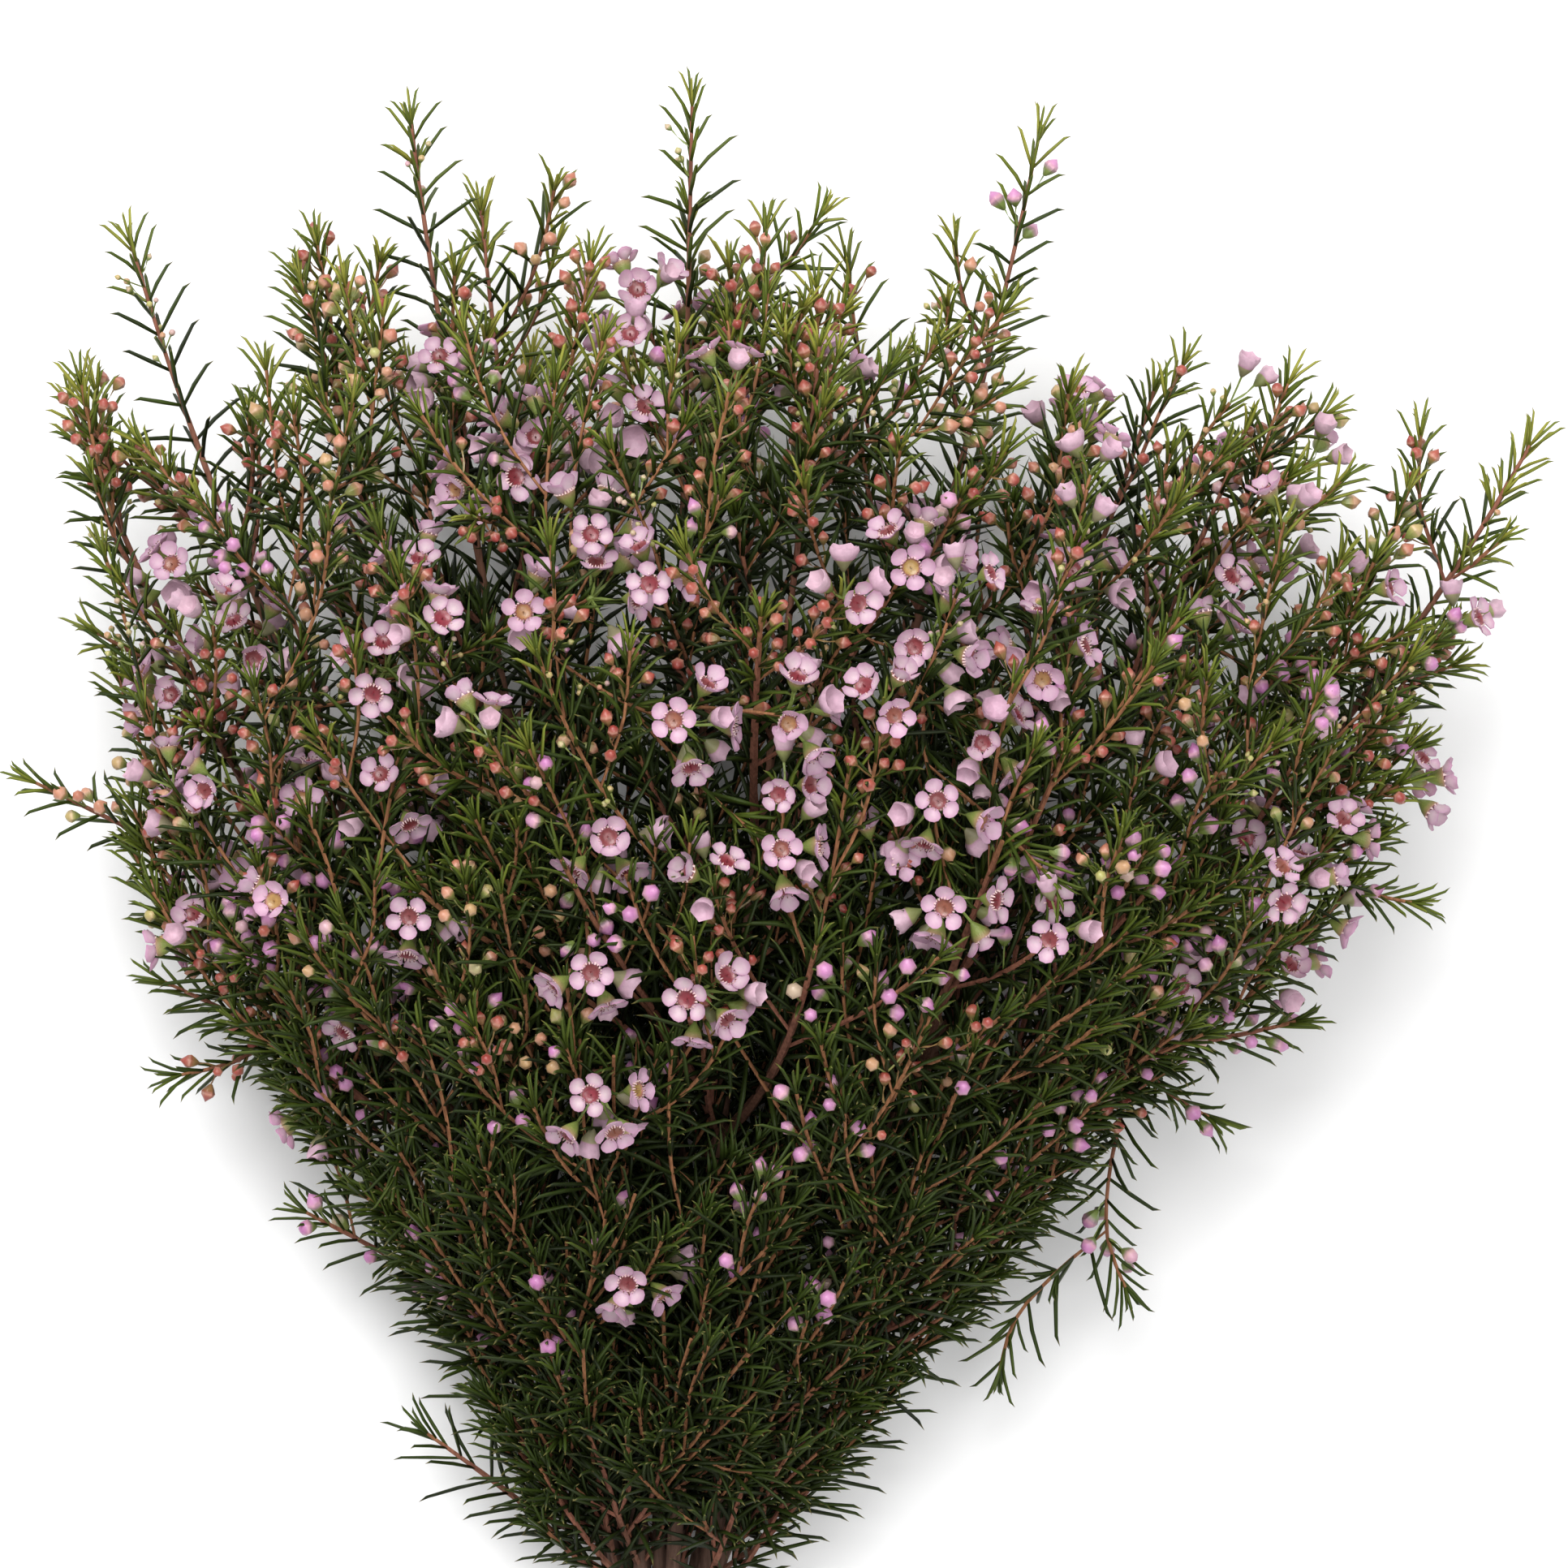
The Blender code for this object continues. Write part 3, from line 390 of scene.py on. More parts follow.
# Outlines of turned shapes: radius and height in mm, from the foot up the outside
BUD_OUTLINE = ((0.0, 0.0), (0.45, 0.15), (1.30, 1.35), (1.88, 2.50), (1.62, 3.45), (0.95, 4.15), (0.0, 4.55))
DISC_OUTLINE = (
    (0.0, -1.22),
    (2.10, -1.02),
    (2.85, -0.30),
    (2.72, 0.02),
    (2.25, -0.38),
    (1.10, -0.72),
    (0.0, -0.62),
)
CUP_OUTLINE = (
    (0.0, -5.60),
    (0.55, -5.45),
    (1.00, -4.75),
    (1.75, -3.60),
    (2.55, -2.20),
    (3.00, -0.95),
    (3.22, -0.15),
    (3.05, -0.05),
    (2.88, -0.60),
    (2.20, -1.25),
    (0.0, -1.40),
)
HALF_OPEN_OUTLINE = (
    (0.0, -5.4),
    (0.6, -5.2),
    (2.5, -2.1),
    (3.3, -0.6),
    (4.2, 1.2),
    (3.9, 2.6),
    (3.1, 1.4),
    (1.9, 0.1),
    (0.0, -0.3),
)
KNOB_OUTLINE = ((0.0, -0.3), (0.55, 0.0), (0.85, 0.9), (0.80, 1.7), (0.45, 2.3), (0.0, 2.5))

# Finishes of the pieces with flowers, in the order in which their faces number them
FLOWER_FINISHES = ("petal", "disc", "stamen", "anther", "half_open")
TIP_FINISHES = (*FLOWER_FINISHES, "bud", "cup")
DISC, STAMEN, ANTHER, HALF_OPEN, BUD, CUP = range(1, 7)

# The studio
VIEW_MIDDLE = Vector((0.0386, 0.2966, 0.10))  # what the photo's middle shows
VIEW_WIDTH = 0.464  # how much of the bunch the photo shows, at that height
VIEW_DISTANCE = 2.5
FLOOR_HALF = 4.0
KEY_SOFTBOX = ("key_softbox", (-0.4, 1.5, 2.0), 56.0)  # name, place and power
FILL_SOFTBOX = ("fill_softbox", (0.7, 0.1, 2.4), 22.0)
SOFTBOX_SIZE = 1.6
SKY_STRENGTH = 0.70


def at_share(rows, where, column):
    """The value in a column of rows at a distance along Y, read between the two nearest rows."""
    return float(np.interp(where, [row[0] for row in rows], [row[column] for row in rows]))


def edges_at(y):
    """The leafy mass's left and right edge at a distance along Y."""
    return at_share(OUTLINE, y, 1), at_share(OUTLINE, y, 2)


def heights_at(y):
    """The leafy mass's middle height and top height at a distance along Y."""
    return at_share(HEIGHTS, y, 1), at_share(HEIGHTS, y, 2)


def across_at(x, y):
    """How far to the side a place is in the leafy mass: -1 at its left edge, 1 at its right edge."""
    left, right = edges_at(y)
    return (2 * x - left - right) / (right - left)


def rise_at(y, z):
    """How high a place is in the leafy mass: 0 at its middle height, 1 at its top."""
    middle, top = heights_at(y)
    return (z - middle) / (top - middle)


def height_at(x, y, depth):
    """Height above the table at a share of the leafy mass's depth, in its rounded cross-section."""
    middle, top = heights_at(y)
    across = across_at(x, y)
    round_off = math.sqrt(max(0.08, 1 - across * across))
    if depth >= 0.5:
        return middle + (top - middle) * (2 * depth - 1) * round_off
    return middle - middle * (1 - 2 * depth) * round_off


def point_at(x, y, depth):
    """The point at a place in the leafy mass and a share of its depth."""
    return Vector((x, y, height_at(x, y, depth)))


def draw_place(draw, low, high):
    """A place drawn in the leafy mass's outline, between two distances along Y: its X and Y."""
    y = draw.uniform(low, high)
    return draw.uniform(*edges_at(y)), y


def draw_depth(draw, ranges):
    """A share of the depth, drawn from one of a few ranges."""
    depths = [draw.uniform(*limits) for limits in ranges]
    return draw.choice(depths) if len(depths) > 1 else depths[0]


def draw_turn(draw):
    return draw.uniform(0, math.tau)


def outward(point):
    """The direction in which the leafy mass's surface faces near a point."""
    tilt = 0.25 + 1.4 * max(0.0, (point.y - 0.30) / 0.15)
    return Vector((across_at(point.x, point.y), tilt, 1.15 * rise_at(point.y, point.z))).normalized()


def how_far_out(point):
    """How near a point is to the leafy mass's surface: 0 in its middle, 1 at the surface."""
    x, y, z = point
    beyond = (y - 0.34) / 0.08
    return max(math.hypot(across_at(x, y), rise_at(y, z)), beyond)


def fan_way(point):
    """The direction in which the bunch fans out from its band, near a point."""
    return (point - BUNDLE_MIDDLE).normalized()


def bezier(a, b, c, d, segments):
    points = []
    for step in range(segments + 1):
        t = step / segments
        s = 1 - t
        points.append(a * s**3 + b * 3 * s * s * t + c * 3 * s * t * t + d * t**3)
    return points


def sideways(direction):
    """A direction square to the given one, level where it can be."""
    side = direction.cross(UP)
    if side.length < 0.1:
        side = direction.cross(ALONG)
    return side.normalized()


def turned(vector, axis, angle):
    return Quaternion(axis, angle) @ vector


def leaning(direction, side, angle):
    """The direction, leaned towards a side square to it by an angle."""
    return direction * math.cos(angle) + side * math.sin(angle)


def tilted(lead, tilt, turn):
    """The lead, leaned by a tilt and then turned round itself."""
    return turned(turned(lead, sideways(lead), tilt), lead, turn)


def on_table(point, radius):
    """The point, lifted so that something of this radius round it rests on the table."""
    return Vector((point.x, point.y, max(point.z, radius)))


def segment_gaps(start, end, starts, ends):
    """Distances from one segment to each of many, between their centrelines."""
    d1 = end - start
    d2 = ends - starts
    r = start - starts
    a = d1 @ d1
    e = np.einsum("ij,ij->i", d2, d2)
    f = np.einsum("ij,ij->i", d2, r)
    c = r @ d1
    b = d2 @ d1
    spread = a * e - b * b
    s = np.clip((b * f - c * e) / np.where(spread > 1e-16, spread, 1e-16), 0, 1)
    t = np.clip((b * s + f) / e, 0, 1)
    s = np.clip((b * t - c) / a, 0, 1)
    apart = (start + s[:, None] * d1) - (starts + t[:, None] * d2)
    return np.sqrt(np.einsum("ij,ij->i", apart, apart))


class Space:
    """The round-ended rods that stand for everything grown so far, each with its owner's number."""

    def __init__(self):
        self.starts = np.zeros((0, 3))
        self.ends = np.zeros((0, 3))
        self.radii = np.zeros(0)
        self.owners = np.zeros(0, int)

    def add(self, rods, owner):
        self.starts = np.vstack([self.starts, [tuple(rod[0]) for rod in rods]])
        self.ends = np.vstack([self.ends, [tuple(rod[1]) for rod in rods]])
        self.radii = np.append(self.radii, [rod[2] for rod in rods])
        self.owners = np.append(self.owners, [owner] * len(rods))

    def is_clear(self, rods, owner):
        """True if every rod is clear of the table and of what other owners have grown."""
        others = self.owners != owner
        starts = self.starts[others]
        ends = self.ends[others]
        radii = self.radii[others]
        for start, end, radius in rods:
            if min(start.z, end.z) < radius:
                return False
            gaps = segment_gaps(np.array(start), np.array(end), starts, ends)
            if len(gaps) and (gaps - radii - radius).min() < CLEARANCE:
                return False
        return True


def rods_along(points, radii):
    return [
        (a, b, max(ra, rb))
        for a, b, ra, rb in zip(points, points[1:], radii, radii[1:])
    ]


class Shoot:
    """A stem or a side shoot: its centreline, its radius at each point and the stem it belongs to."""

    def __init__(self, stem, points, base_radius, tip_radius, mounts_from, straight_points=0):
        self.stem = stem
        self.points = points
        self.lengths = [0.0]
        for a, b in zip(points, points[1:]):
            self.lengths.append(self.lengths[-1] + (b - a).length)
        self.length = self.lengths[-1]
        straight = self.lengths[straight_points]
        self.radii = [
            base_radius + (tip_radius - base_radius) * max(0.0, at - straight) / (self.length - straight)
            for at in self.lengths
        ]
        self.mounts_from = mounts_from
        self.carries_flowers = False
        self.is_long_branch = False

    def place(self, at):
        """Point, direction and radius at a distance along the shoot."""
        i = min(int(np.searchsorted(self.lengths, at, side="right")) - 1, len(self.points) - 2)
        run = self.points[i + 1] - self.points[i]
        share = (at - self.lengths[i]) / run.length
        radius = self.radii[i] + (self.radii[i + 1] - self.radii[i]) * share
        return self.points[i] + run * share, run.normalized(), radius


class Bunch:
    """Grows the stems, their side shoots and the flower clusters, each clear of what stands there."""

    def __init__(self):
        self.space = Space()
        self.shoots = []
        self.mounts = []
        self.clusters = []

    def add_shoot(self, shoot):
        self.shoots.append(shoot)
        self.space.add(rods_along(shoot.points, shoot.radii), shoot.stem)
        at = shoot.length * shoot.mounts_from
        while at < shoot.length * LAST_MOUNT:
            point, direction, radius = shoot.place(at)
            if point.y > LOWEST_MOUNT:
                self.mounts.append((*point, *direction, radius, shoot.stem))
            at += MOUNT_SPACING

    def grow_stem(self, number, ring, tip):
        """A stem from its cut end, straight through the band, then out to its tip."""
        count, distance, first = ring[0]
        angle = math.radians(first + 360.0 * ring[1] / count)
        spoke = Vector((math.cos(angle), 0.0, math.sin(angle)))
        through = BUNDLE_MIDDLE + spoke * distance
        draw = random.Random(f"{SEED} stem {number}")
        spread = spoke * distance * CUT_SPREAD
        cut = Vector((spread.x, -CUT_END - draw.uniform(-7, 7) * MM, BUNDLE_MIDDLE.z + spread.z))
        cut = on_table(cut, STEM_RADIUS + CLEARANCE)
        low = through - ALONG * STRAIGHT_HALF
        high = through + ALONG * STRAIGHT_HALF
        x, y, depth = tip
        end = point_at(x, y, depth)
        reach = (end - high).length
        fan = Vector(((end.x - high.x) / reach, 1.0, (end.z - high.z) / reach)).normalized()
        way = (end - high).normalized()
        late = (way * 0.75 + fan * 0.25 + ALONG * 0.15).normalized()
        start_way = (ALONG + way * 0.35).normalized()
        steps = round(reach / ROUTE_STEP)
        bare = round(steps * STEM_LEAVES_FROM)
        rise = bezier(high, high + start_way * reach * 0.3, end - late * reach * 0.35, end, steps)
        rise = rise[:bare:BARE_STEP] + rise[bare:]
        points = [cut, low] + [on_table(p, STEM_RADIUS) for p in rise]
        stem = Shoot(number, points, STEM_RADIUS, STEM_TIP_RADIUS, STEM_MOUNTS_FROM, straight_points=2)
        self.add_shoot(stem)

    def mount_choices(self, target, shortest):
        """The mounts on the shoots so far, best first: near the target, with an easy angle to it."""
        table = np.array(self.mounts)
        away = np.array(target) - table[:, :3]
        length = np.sqrt((away * away).sum(axis=1))
        cosine = (away * table[:, 3:6]).sum(axis=1) / np.maximum(length, 1e-9)
        angle = np.degrees(np.arccos(np.clip(cosine, -1, 1)))
        least, most = EASY_ANGLES
        cost = length * (1 + np.maximum(0, angle - most) / 14 + np.maximum(0, least - angle) / 10)
        cost[length < shortest] = np.inf
        return [self.mounts[i] for i in np.argsort(cost, kind="stable")[:NEAREST_MOUNTS]]

    def routes(self, mount, target, heading):
        """Ways from a mount to the target, which leave the mount sideways and bend towards heading."""
        start = Vector(mount[:3])
        direction = Vector(mount[3:6])
        way = target - start
        length = way.length
        way.normalize()
        side = way - direction * way.dot(direction)
        side = side.normalized() if side.length > 0.05 else sideways(direction)
        segments = max(2, round(length / ROUTE_STEP))
        for turn in BULGES:
            bulge = turned(side, way, turn)
            leave = (way + bulge * 0.40).normalized()
            arrive = (way + heading * 0.45 - bulge * 0.2).normalized()
            yield bezier(
                start,
                start + leave * length * 0.36,
                target - arrive * length * 0.30,
                target,
                segments,
            )

    def grow_shoot(self, target, heading, keep=lambda shoot: True, shortest=SHORTEST_SHOOT, fan=None):
        """A side shoot to the target from the best mount that leaves it a clear way, or None."""
        choices = self.mount_choices(target, shortest)
        for mount in choices[:SPRAY_MOUNTS] if fan else choices:
            if fan and (target - Vector(mount[:3])).normalized().dot(fan) < FAN_COSINE:
                continue
            radius, stem = mount[6], int(mount[7])
            for points in self.routes(mount, target, heading):
                length = sum((b - a).length for a, b in zip(points, points[1:]))
                base = min(radius * 0.8, SHOOT_BASE_RADIUS + SHOOT_GIRTH * length)
                base = max(base, SHOOT_TIP_RADIUS)
                points = points[:1] + [on_table(p, base) for p in points[1:]]
                shoot = Shoot(stem, points, base, min(base, SHOOT_TIP_RADIUS), SHOOT_MOUNTS_FROM)
                if self.space.is_clear(rods_along(points, shoot.radii), stem) and keep(shoot):
                    self.add_shoot(shoot)
                    return shoot
        return None

    def grow_leader(self, number):
        target = point_at(*LEADERS[number])
        return self.grow_shoot(target, outward(target))

    def grow_cluster(self, number):
        """A twig with a cluster of open flowers on its end."""
        x, y, depth, count = CLUSTERS[number]
        draw = random.Random(f"{SEED} cluster {number}")
        owner = -1 - number
        for attempt in range(CLUSTER_TRIES):
            target = point_at(x, y, depth)
            heading = outward(target)
            target -= heading * CLUSTER_DEPTH
            if attempt:
                target += Vector([draw.uniform(-6, 6) * MM for _ in range(3)])
            target = on_table(target, LOWEST_CLUSTER)
            made = []

            def flowers_fit(shoot):
                made[:] = cluster_on(shoot, heading, count, draw, self.space, owner)
                return len(made) > 1

            twig = self.grow_shoot(target, heading, flowers_fit)
            if twig:
                twig.carries_flowers = True
                foot, flowers = made[0], made[1:]
                self.clusters.append((number, foot, flowers))
                rods = [foot_rod(foot)]
                for flower in flowers:
                    rods += flower_rods(flower)
                self.space.add(rods, owner)
                return True
        return False

    def emptiest(self, draw, tries, across, depths, room, loose=0.0):
        """The one of a few places drawn in the leafy mass with the most room round it, or None."""
        places = np.array([mount[:3] for mount in self.mounts])
        best = None
        for _ in range(tries):
            x, y = draw_place(draw, *across)
            point = point_at(x, y, draw_depth(draw, depths))
            away = places - np.array(point)
            looser = loose * max(0.0, y - LOOSE_FROM) / (across[1] - LOOSE_FROM)
            nearest = math.sqrt((away * away).sum(axis=1).min()) - looser
            if nearest > room:
                best, room = point, nearest
        return best

    def grow_fill(self, number):
        """A leafy shoot to the emptiest of a few places drawn in the leafy mass."""
        draw = random.Random(f"{SEED} fill {number}")
        best = self.emptiest(draw, FILL_TRIES, FILL_ACROSS, FILL_DEPTHS, FILL_ROOM)
        return best and self.grow_shoot(best, outward(best))

    def grow(self):
        """What the solids have too, in the order in which they grow there."""
        tips = [(INNER_RING, i, tip) for i, tip in enumerate(INNER_TIPS)]
        tips += [(OUTER_RING, i, tip) for i, tip in enumerate(OUTER_TIPS)]
        for number, (ring, place, tip) in enumerate(tips):
            self.grow_stem(number, (ring, place), tip)
        self.grow_each(
            (len(LEADERS), self.grow_leader),
            (len(CLUSTERS), self.grow_cluster),
            (FILL_SHOOTS, self.grow_fill),
        )
        return self

    def grow_each(self, *kinds):
        for count, grow_one in kinds:
            for number in range(count):
                grow_one(number)

    def thicken(self):
        """More leafy shoots, most of them near the surface, and none in front of a flower."""
        self.keep_clear_of(BloomFaces(self))
        for place in LONG_BRANCHES:
            point = point_at(*place)
            branch = self.grow_shoot(point, fan_way(point), self.keep, LONG_BRANCH, fan_way(point))
            if branch:
                branch.is_long_branch = True
        self.keep_clear_of(BloomFaces(self))
        self.grow_each(
            (NECK_SHOOTS, self.grow_neck_shoot),
            (COLLAR_SHOOTS, self.grow_collar_shoot),
            (SPRAYS, self.grow_spray),
            (SPIKES, self.grow_spike),
        )

    def keep_clear_of(self, faces):
        self.keep = lambda shoot: not faces.hidden_by(shoot.points[1:], *SHOOT_CLEAR)

    def grow_fanned(self, point, rise, shortest, fanned=True):
        """A shoot that ends at a point and heads as the bunch fans out, raised a little to face out."""
        fan = fan_way(point)
        heading = (outward(point) * rise + fan).normalized()
        return self.grow_shoot(point, heading, self.keep, shortest, fan if fanned else None)

    def grow_neck_shoot(self, number):
        """A leafy shoot that ends at the surface low in the bunch, where the stems are still close."""
        draw = random.Random(f"{SEED} neck {number}")
        y = draw.uniform(*NECK_ACROSS)
        left, right = edges_at(y)
        share = 0.5 - 0.5 * math.cos(draw.uniform(0.05, 0.95) * math.pi)
        x = left + (right - left) * share
        return self.grow_fanned(point_at(x, y, draw_depth(draw, NECK_DEPTHS)), 0.3, NECK_LENGTH)

    def grow_collar_shoot(self, number):
        """A short leafy shoot low down, where the stems leave the band."""
        draw = random.Random(f"{SEED} collar {number}")
        x, y = draw_place(draw, *COLLAR_ACROSS)
        point = point_at(x, y, draw_depth(draw, COLLAR_DEPTHS))
        return self.grow_fanned(point, 0.6, COLLAR_LENGTH, fanned=False)

    def grow_spike(self, number):
        """A thin leafy shoot that ends outside the leafy mass, at its left, its right or its top."""
        draw = random.Random(f"{SEED} spike {number}")
        place = draw.random()
        y = draw.uniform(*SPIKE_ACROSS)
        x = edges_at(y)[0 if place < SPIKE_AT_LEFT else 1]
        if place > SPIKE_AT_SIDES:
            x, y = draw_place(draw, *SPIKE_AT_TOP)
        point = point_at(x, y, draw_depth(draw, SPIKE_DEPTHS))
        fan = fan_way(point)
        point += fan * draw.uniform(*SPIKE_REACH)
        inside = all(low < value < high for value, low, high in zip(point, CAD_LOW, CAD_HIGH))
        return inside and self.grow_shoot(point, fan, self.keep, SPIKE_LENGTH, fan)

    def grow_spray(self, number):
        """A leafy shoot where there is still room, looser towards the top."""
        draw = random.Random(f"{SEED} spray {number}")
        best = self.emptiest(draw, SPRAY_TRIES, SPRAY_ACROSS, SPRAY_DEPTHS, SPRAY_ROOM, LOOSE_ROOM)
        return best and self.grow_fanned(best, 0.4, draw.uniform(*SPRAY_LENGTHS))


def foot_rod(foot):
    point, direction = foot
    return point, point + direction * KNOB_LENGTH, KNOB_RADIUS


def flower_rods(flower):
    """The rods that stand for a flower: its pedicel, its cup and its petals."""
    base, middle, axis, roll = flower
    rods = [
        (base, middle, PEDICEL_RADIUS * 1.6),
        (middle - axis * CUP_RADIUS * 1.3, middle, CUP_RADIUS * 0.8),
    ]
    side = turned(sideways(axis), axis, roll)
    for petal in range(PETALS):
        reach = turned(side, axis, math.tau * petal / PETALS)
        inner = middle + reach * CUP_RADIUS
        outer = middle + reach * (FLOWER_RADIUS - 2.0 * MM) + axis * PETAL_RISE * 0.5
        rods.append((inner, outer, PETAL_ROOM))
    return rods


def cluster_on(twig, heading, count, draw, space, owner):
    """The foot of a cluster on a twig's end and then its flowers, or an empty list if they don't fit.

    A flower is the point where its pedicel starts, its middle, its axis and its petals' turn."""
    direction = (twig.points[-1] - twig.points[-2]).normalized()
    lead = (direction + heading * 0.7).normalized()
    foot = (twig.points[-1] + direction * SEAT_GAP, direction)
    if not space.is_clear([foot_rod(foot)], owner):
        return []
    root = foot[0] + direction * KNOB_LENGTH * 0.55
    tilt = math.radians(CLUSTER_TILTS[count - 1])
    ring = count - 1 if count == 5 else count  # a fifth flower stands in the middle
    for start in range(TURN_TRIES):
        first = start * 0.63 + draw.uniform(-0.2, 0.2)
        flowers = []
        for place in range(count):
            lean = tilt * (place < ring)
            roll = first + place * math.tau / ring
            flower = fit_flower(root, lead, direction, lean, roll, flowers, draw, space, owner)
            if not flower:
                break
            flowers.append(flower)
        if len(flowers) == count:
            return [foot, *flowers]
    return []


def fit_flower(root, lead, direction, tilt, roll, others, draw, space, owner):
    """A flower near the given tilt and roll round the lead, clear of all others, or None."""
    for trial in range(FLOWER_TRIES):
        loose = 0.12 + 0.08 * trial
        lean = tilt + draw.uniform(-loose, loose)
        axis = tilted(lead, lean, roll + draw.uniform(-loose, loose))
        if axis.dot(direction) < 0.25:
            continue
        middle = root + axis * PEDICEL_LENGTH * draw.uniform(0.85, 1.15)
        flower = (root, middle, axis, draw.uniform(0, math.tau / PETALS))
        apart = min([(middle - other[1]).length for other in others] + [1.0])
        if apart > 1.85 * FLOWER_RADIUS and space.is_clear(flower_rods(flower), owner):
            return flower
    return None


class Line:
    """A smooth line through a shoot's points, read by the distance along it."""

    def __init__(self, shoot, step):
        points = [np.array(point) for point in shoot.points]
        before = [2 * points[0] - points[1], *points[:-1]]
        after = [*points[1:], 2 * points[-1] - points[-2]]
        places, radii = [points[0]], [shoot.radii[0]]
        for i in range(len(points) - 1):
            a, b, c, d = before[i], points[i], points[i + 1], after[i + 1]
            pieces = max(1, round(np.linalg.norm(c - b) / step))
            for piece in range(1, pieces + 1):
                t = piece / pieces
                curve = 2 * b + (c - a) * t + (2 * a - 5 * b + 4 * c - d) * t**2
                curve += (3 * b - a - 3 * c + d) * t**3
                places.append(curve / 2)
                radii.append(shoot.radii[i] + (shoot.radii[i + 1] - shoot.radii[i]) * t)
        self.points = np.array(places)
        self.points[:, 2] = np.maximum(self.points[:, 2], radii)
        self.radii = radii
        runs = np.linalg.norm(np.diff(self.points, axis=0), axis=1)
        self.lengths = np.append(0.0, np.cumsum(runs))
        self.length = float(self.lengths[-1])

    def place(self, at):
        """Point, direction and radius at a distance along the line."""
        i = int(np.searchsorted(self.lengths, at, side="right")) - 1
        i = min(max(i, 0), len(self.points) - 2)
        run = self.points[i + 1] - self.points[i]
        share = (at - self.lengths[i]) / (self.lengths[i + 1] - self.lengths[i])
        radius = self.radii[i] + (self.radii[i + 1] - self.radii[i]) * share
        return Vector(self.points[i] + run * share), Vector(run).normalized(), radius


# Modelling helpers


def mesh_from(name, bm):
    mesh = bpy.data.meshes.new(name)
    bm.to_mesh(mesh)
    bm.free()
    return mesh


def pose(direction, side):
    """The turn that takes +Z to direction and +X towards side."""
    z = direction.normalized()
    x = (side - z * side.dot(z)).normalized()
    y = z.cross(x)
    return Matrix((x, y, z)).transposed()


def placed(point, direction, side, wide=1.0, long=None):
    """The matrix that sets a shape's foot at a point, with its +Z along direction and +X to side."""
    size = (wide, wide, wide if long is None else long)
    place = (pose(direction, side) @ Matrix.Diagonal(size)).to_4x4()
    place.translation = point
    return place


def stretched(start, end, side, wide=1.0):
    """The matrix that sets a stalk of length 1 mm from one point to another."""
    way = end - start
    return placed(start, way, side, wide, way.length / MM)


def faces_of(verts):
    return {face for vert in verts for face in vert.link_faces}


def closed_rod(bm, start, end, first_radius, radius, sides):
    """A tapered prism between two points. It returns its corners and the face at its far end."""
    way = end - start
    made = bmesh.ops.create_cone(
        bm,
        cap_ends=True,
        segments=sides,
        radius1=first_radius,
        radius2=radius,
        depth=way.length,
        matrix=placed((start + end) / 2, way, sideways(way)),
    )["verts"]
    faces = faces_of(made)
    for face in faces:
        face.normal_update()
    way.normalize()
    return made, max(faces, key=lambda face: face.normal.dot(way))


def grow_face(bm, face, middle, way, radius):
    """Extrudes a face to a new middle, facing way, with its corners this far from the middle."""
    grown = bmesh.ops.extrude_discrete_faces(bm, faces=[face])["faces"][0]
    grown.normal_update()
    turn = grown.normal.rotation_difference(way)
    centre = grown.calc_center_median()
    for vert in grown.verts:
        arm = turn @ (vert.co - centre)
        arm -= way * arm.dot(way)
        vert.co = middle + arm.normalized() * radius
    grown.normal_update()
    return grown


def add_rod(bm, start, end, first_radius, radius, sides, finish):
    """A small tapered rod in a finish of its own."""
    made, _ = closed_rod(bm, start, end, first_radius, radius, sides)
    for face in faces_of(made):
        face.material_index = finish


def spin_round(bm, verts, edges, steps):
    """Turns a line of corners all the way round Z."""
    bmesh.ops.spin(
        bm,
        geom=verts + edges,
        cent=(0.0, 0.0, 0.0),
        axis=(0.0, 0.0, 1.0),
        angle=math.tau,
        steps=steps,
        use_merge=True,
    )


# Small shapes and their many copies


class Shape:
    """A small finished shape that is set many times: its corners, faces, finishes and tones."""

    def __init__(self, bm, tone=None):
        bmesh.ops.recalc_face_normals(bm, faces=bm.faces)
        mesh = mesh_from("shape", bm)
        self.corners = np.array([vert.co for vert in mesh.vertices])
        self.rings = np.array([corner for face in mesh.polygons for corner in face.vertices])
        self.sizes = np.array([len(face.vertices) for face in mesh.polygons])
        self.finishes = np.array([face.material_index for face in mesh.polygons])
        layer = mesh.attributes.get("tone")
        if layer:
            self.tones = np.array([item.value for item in layer.data])
        else:
            self.tones = np.array([tone(vert.co) for vert in mesh.vertices])
        bpy.data.meshes.remove(mesh)


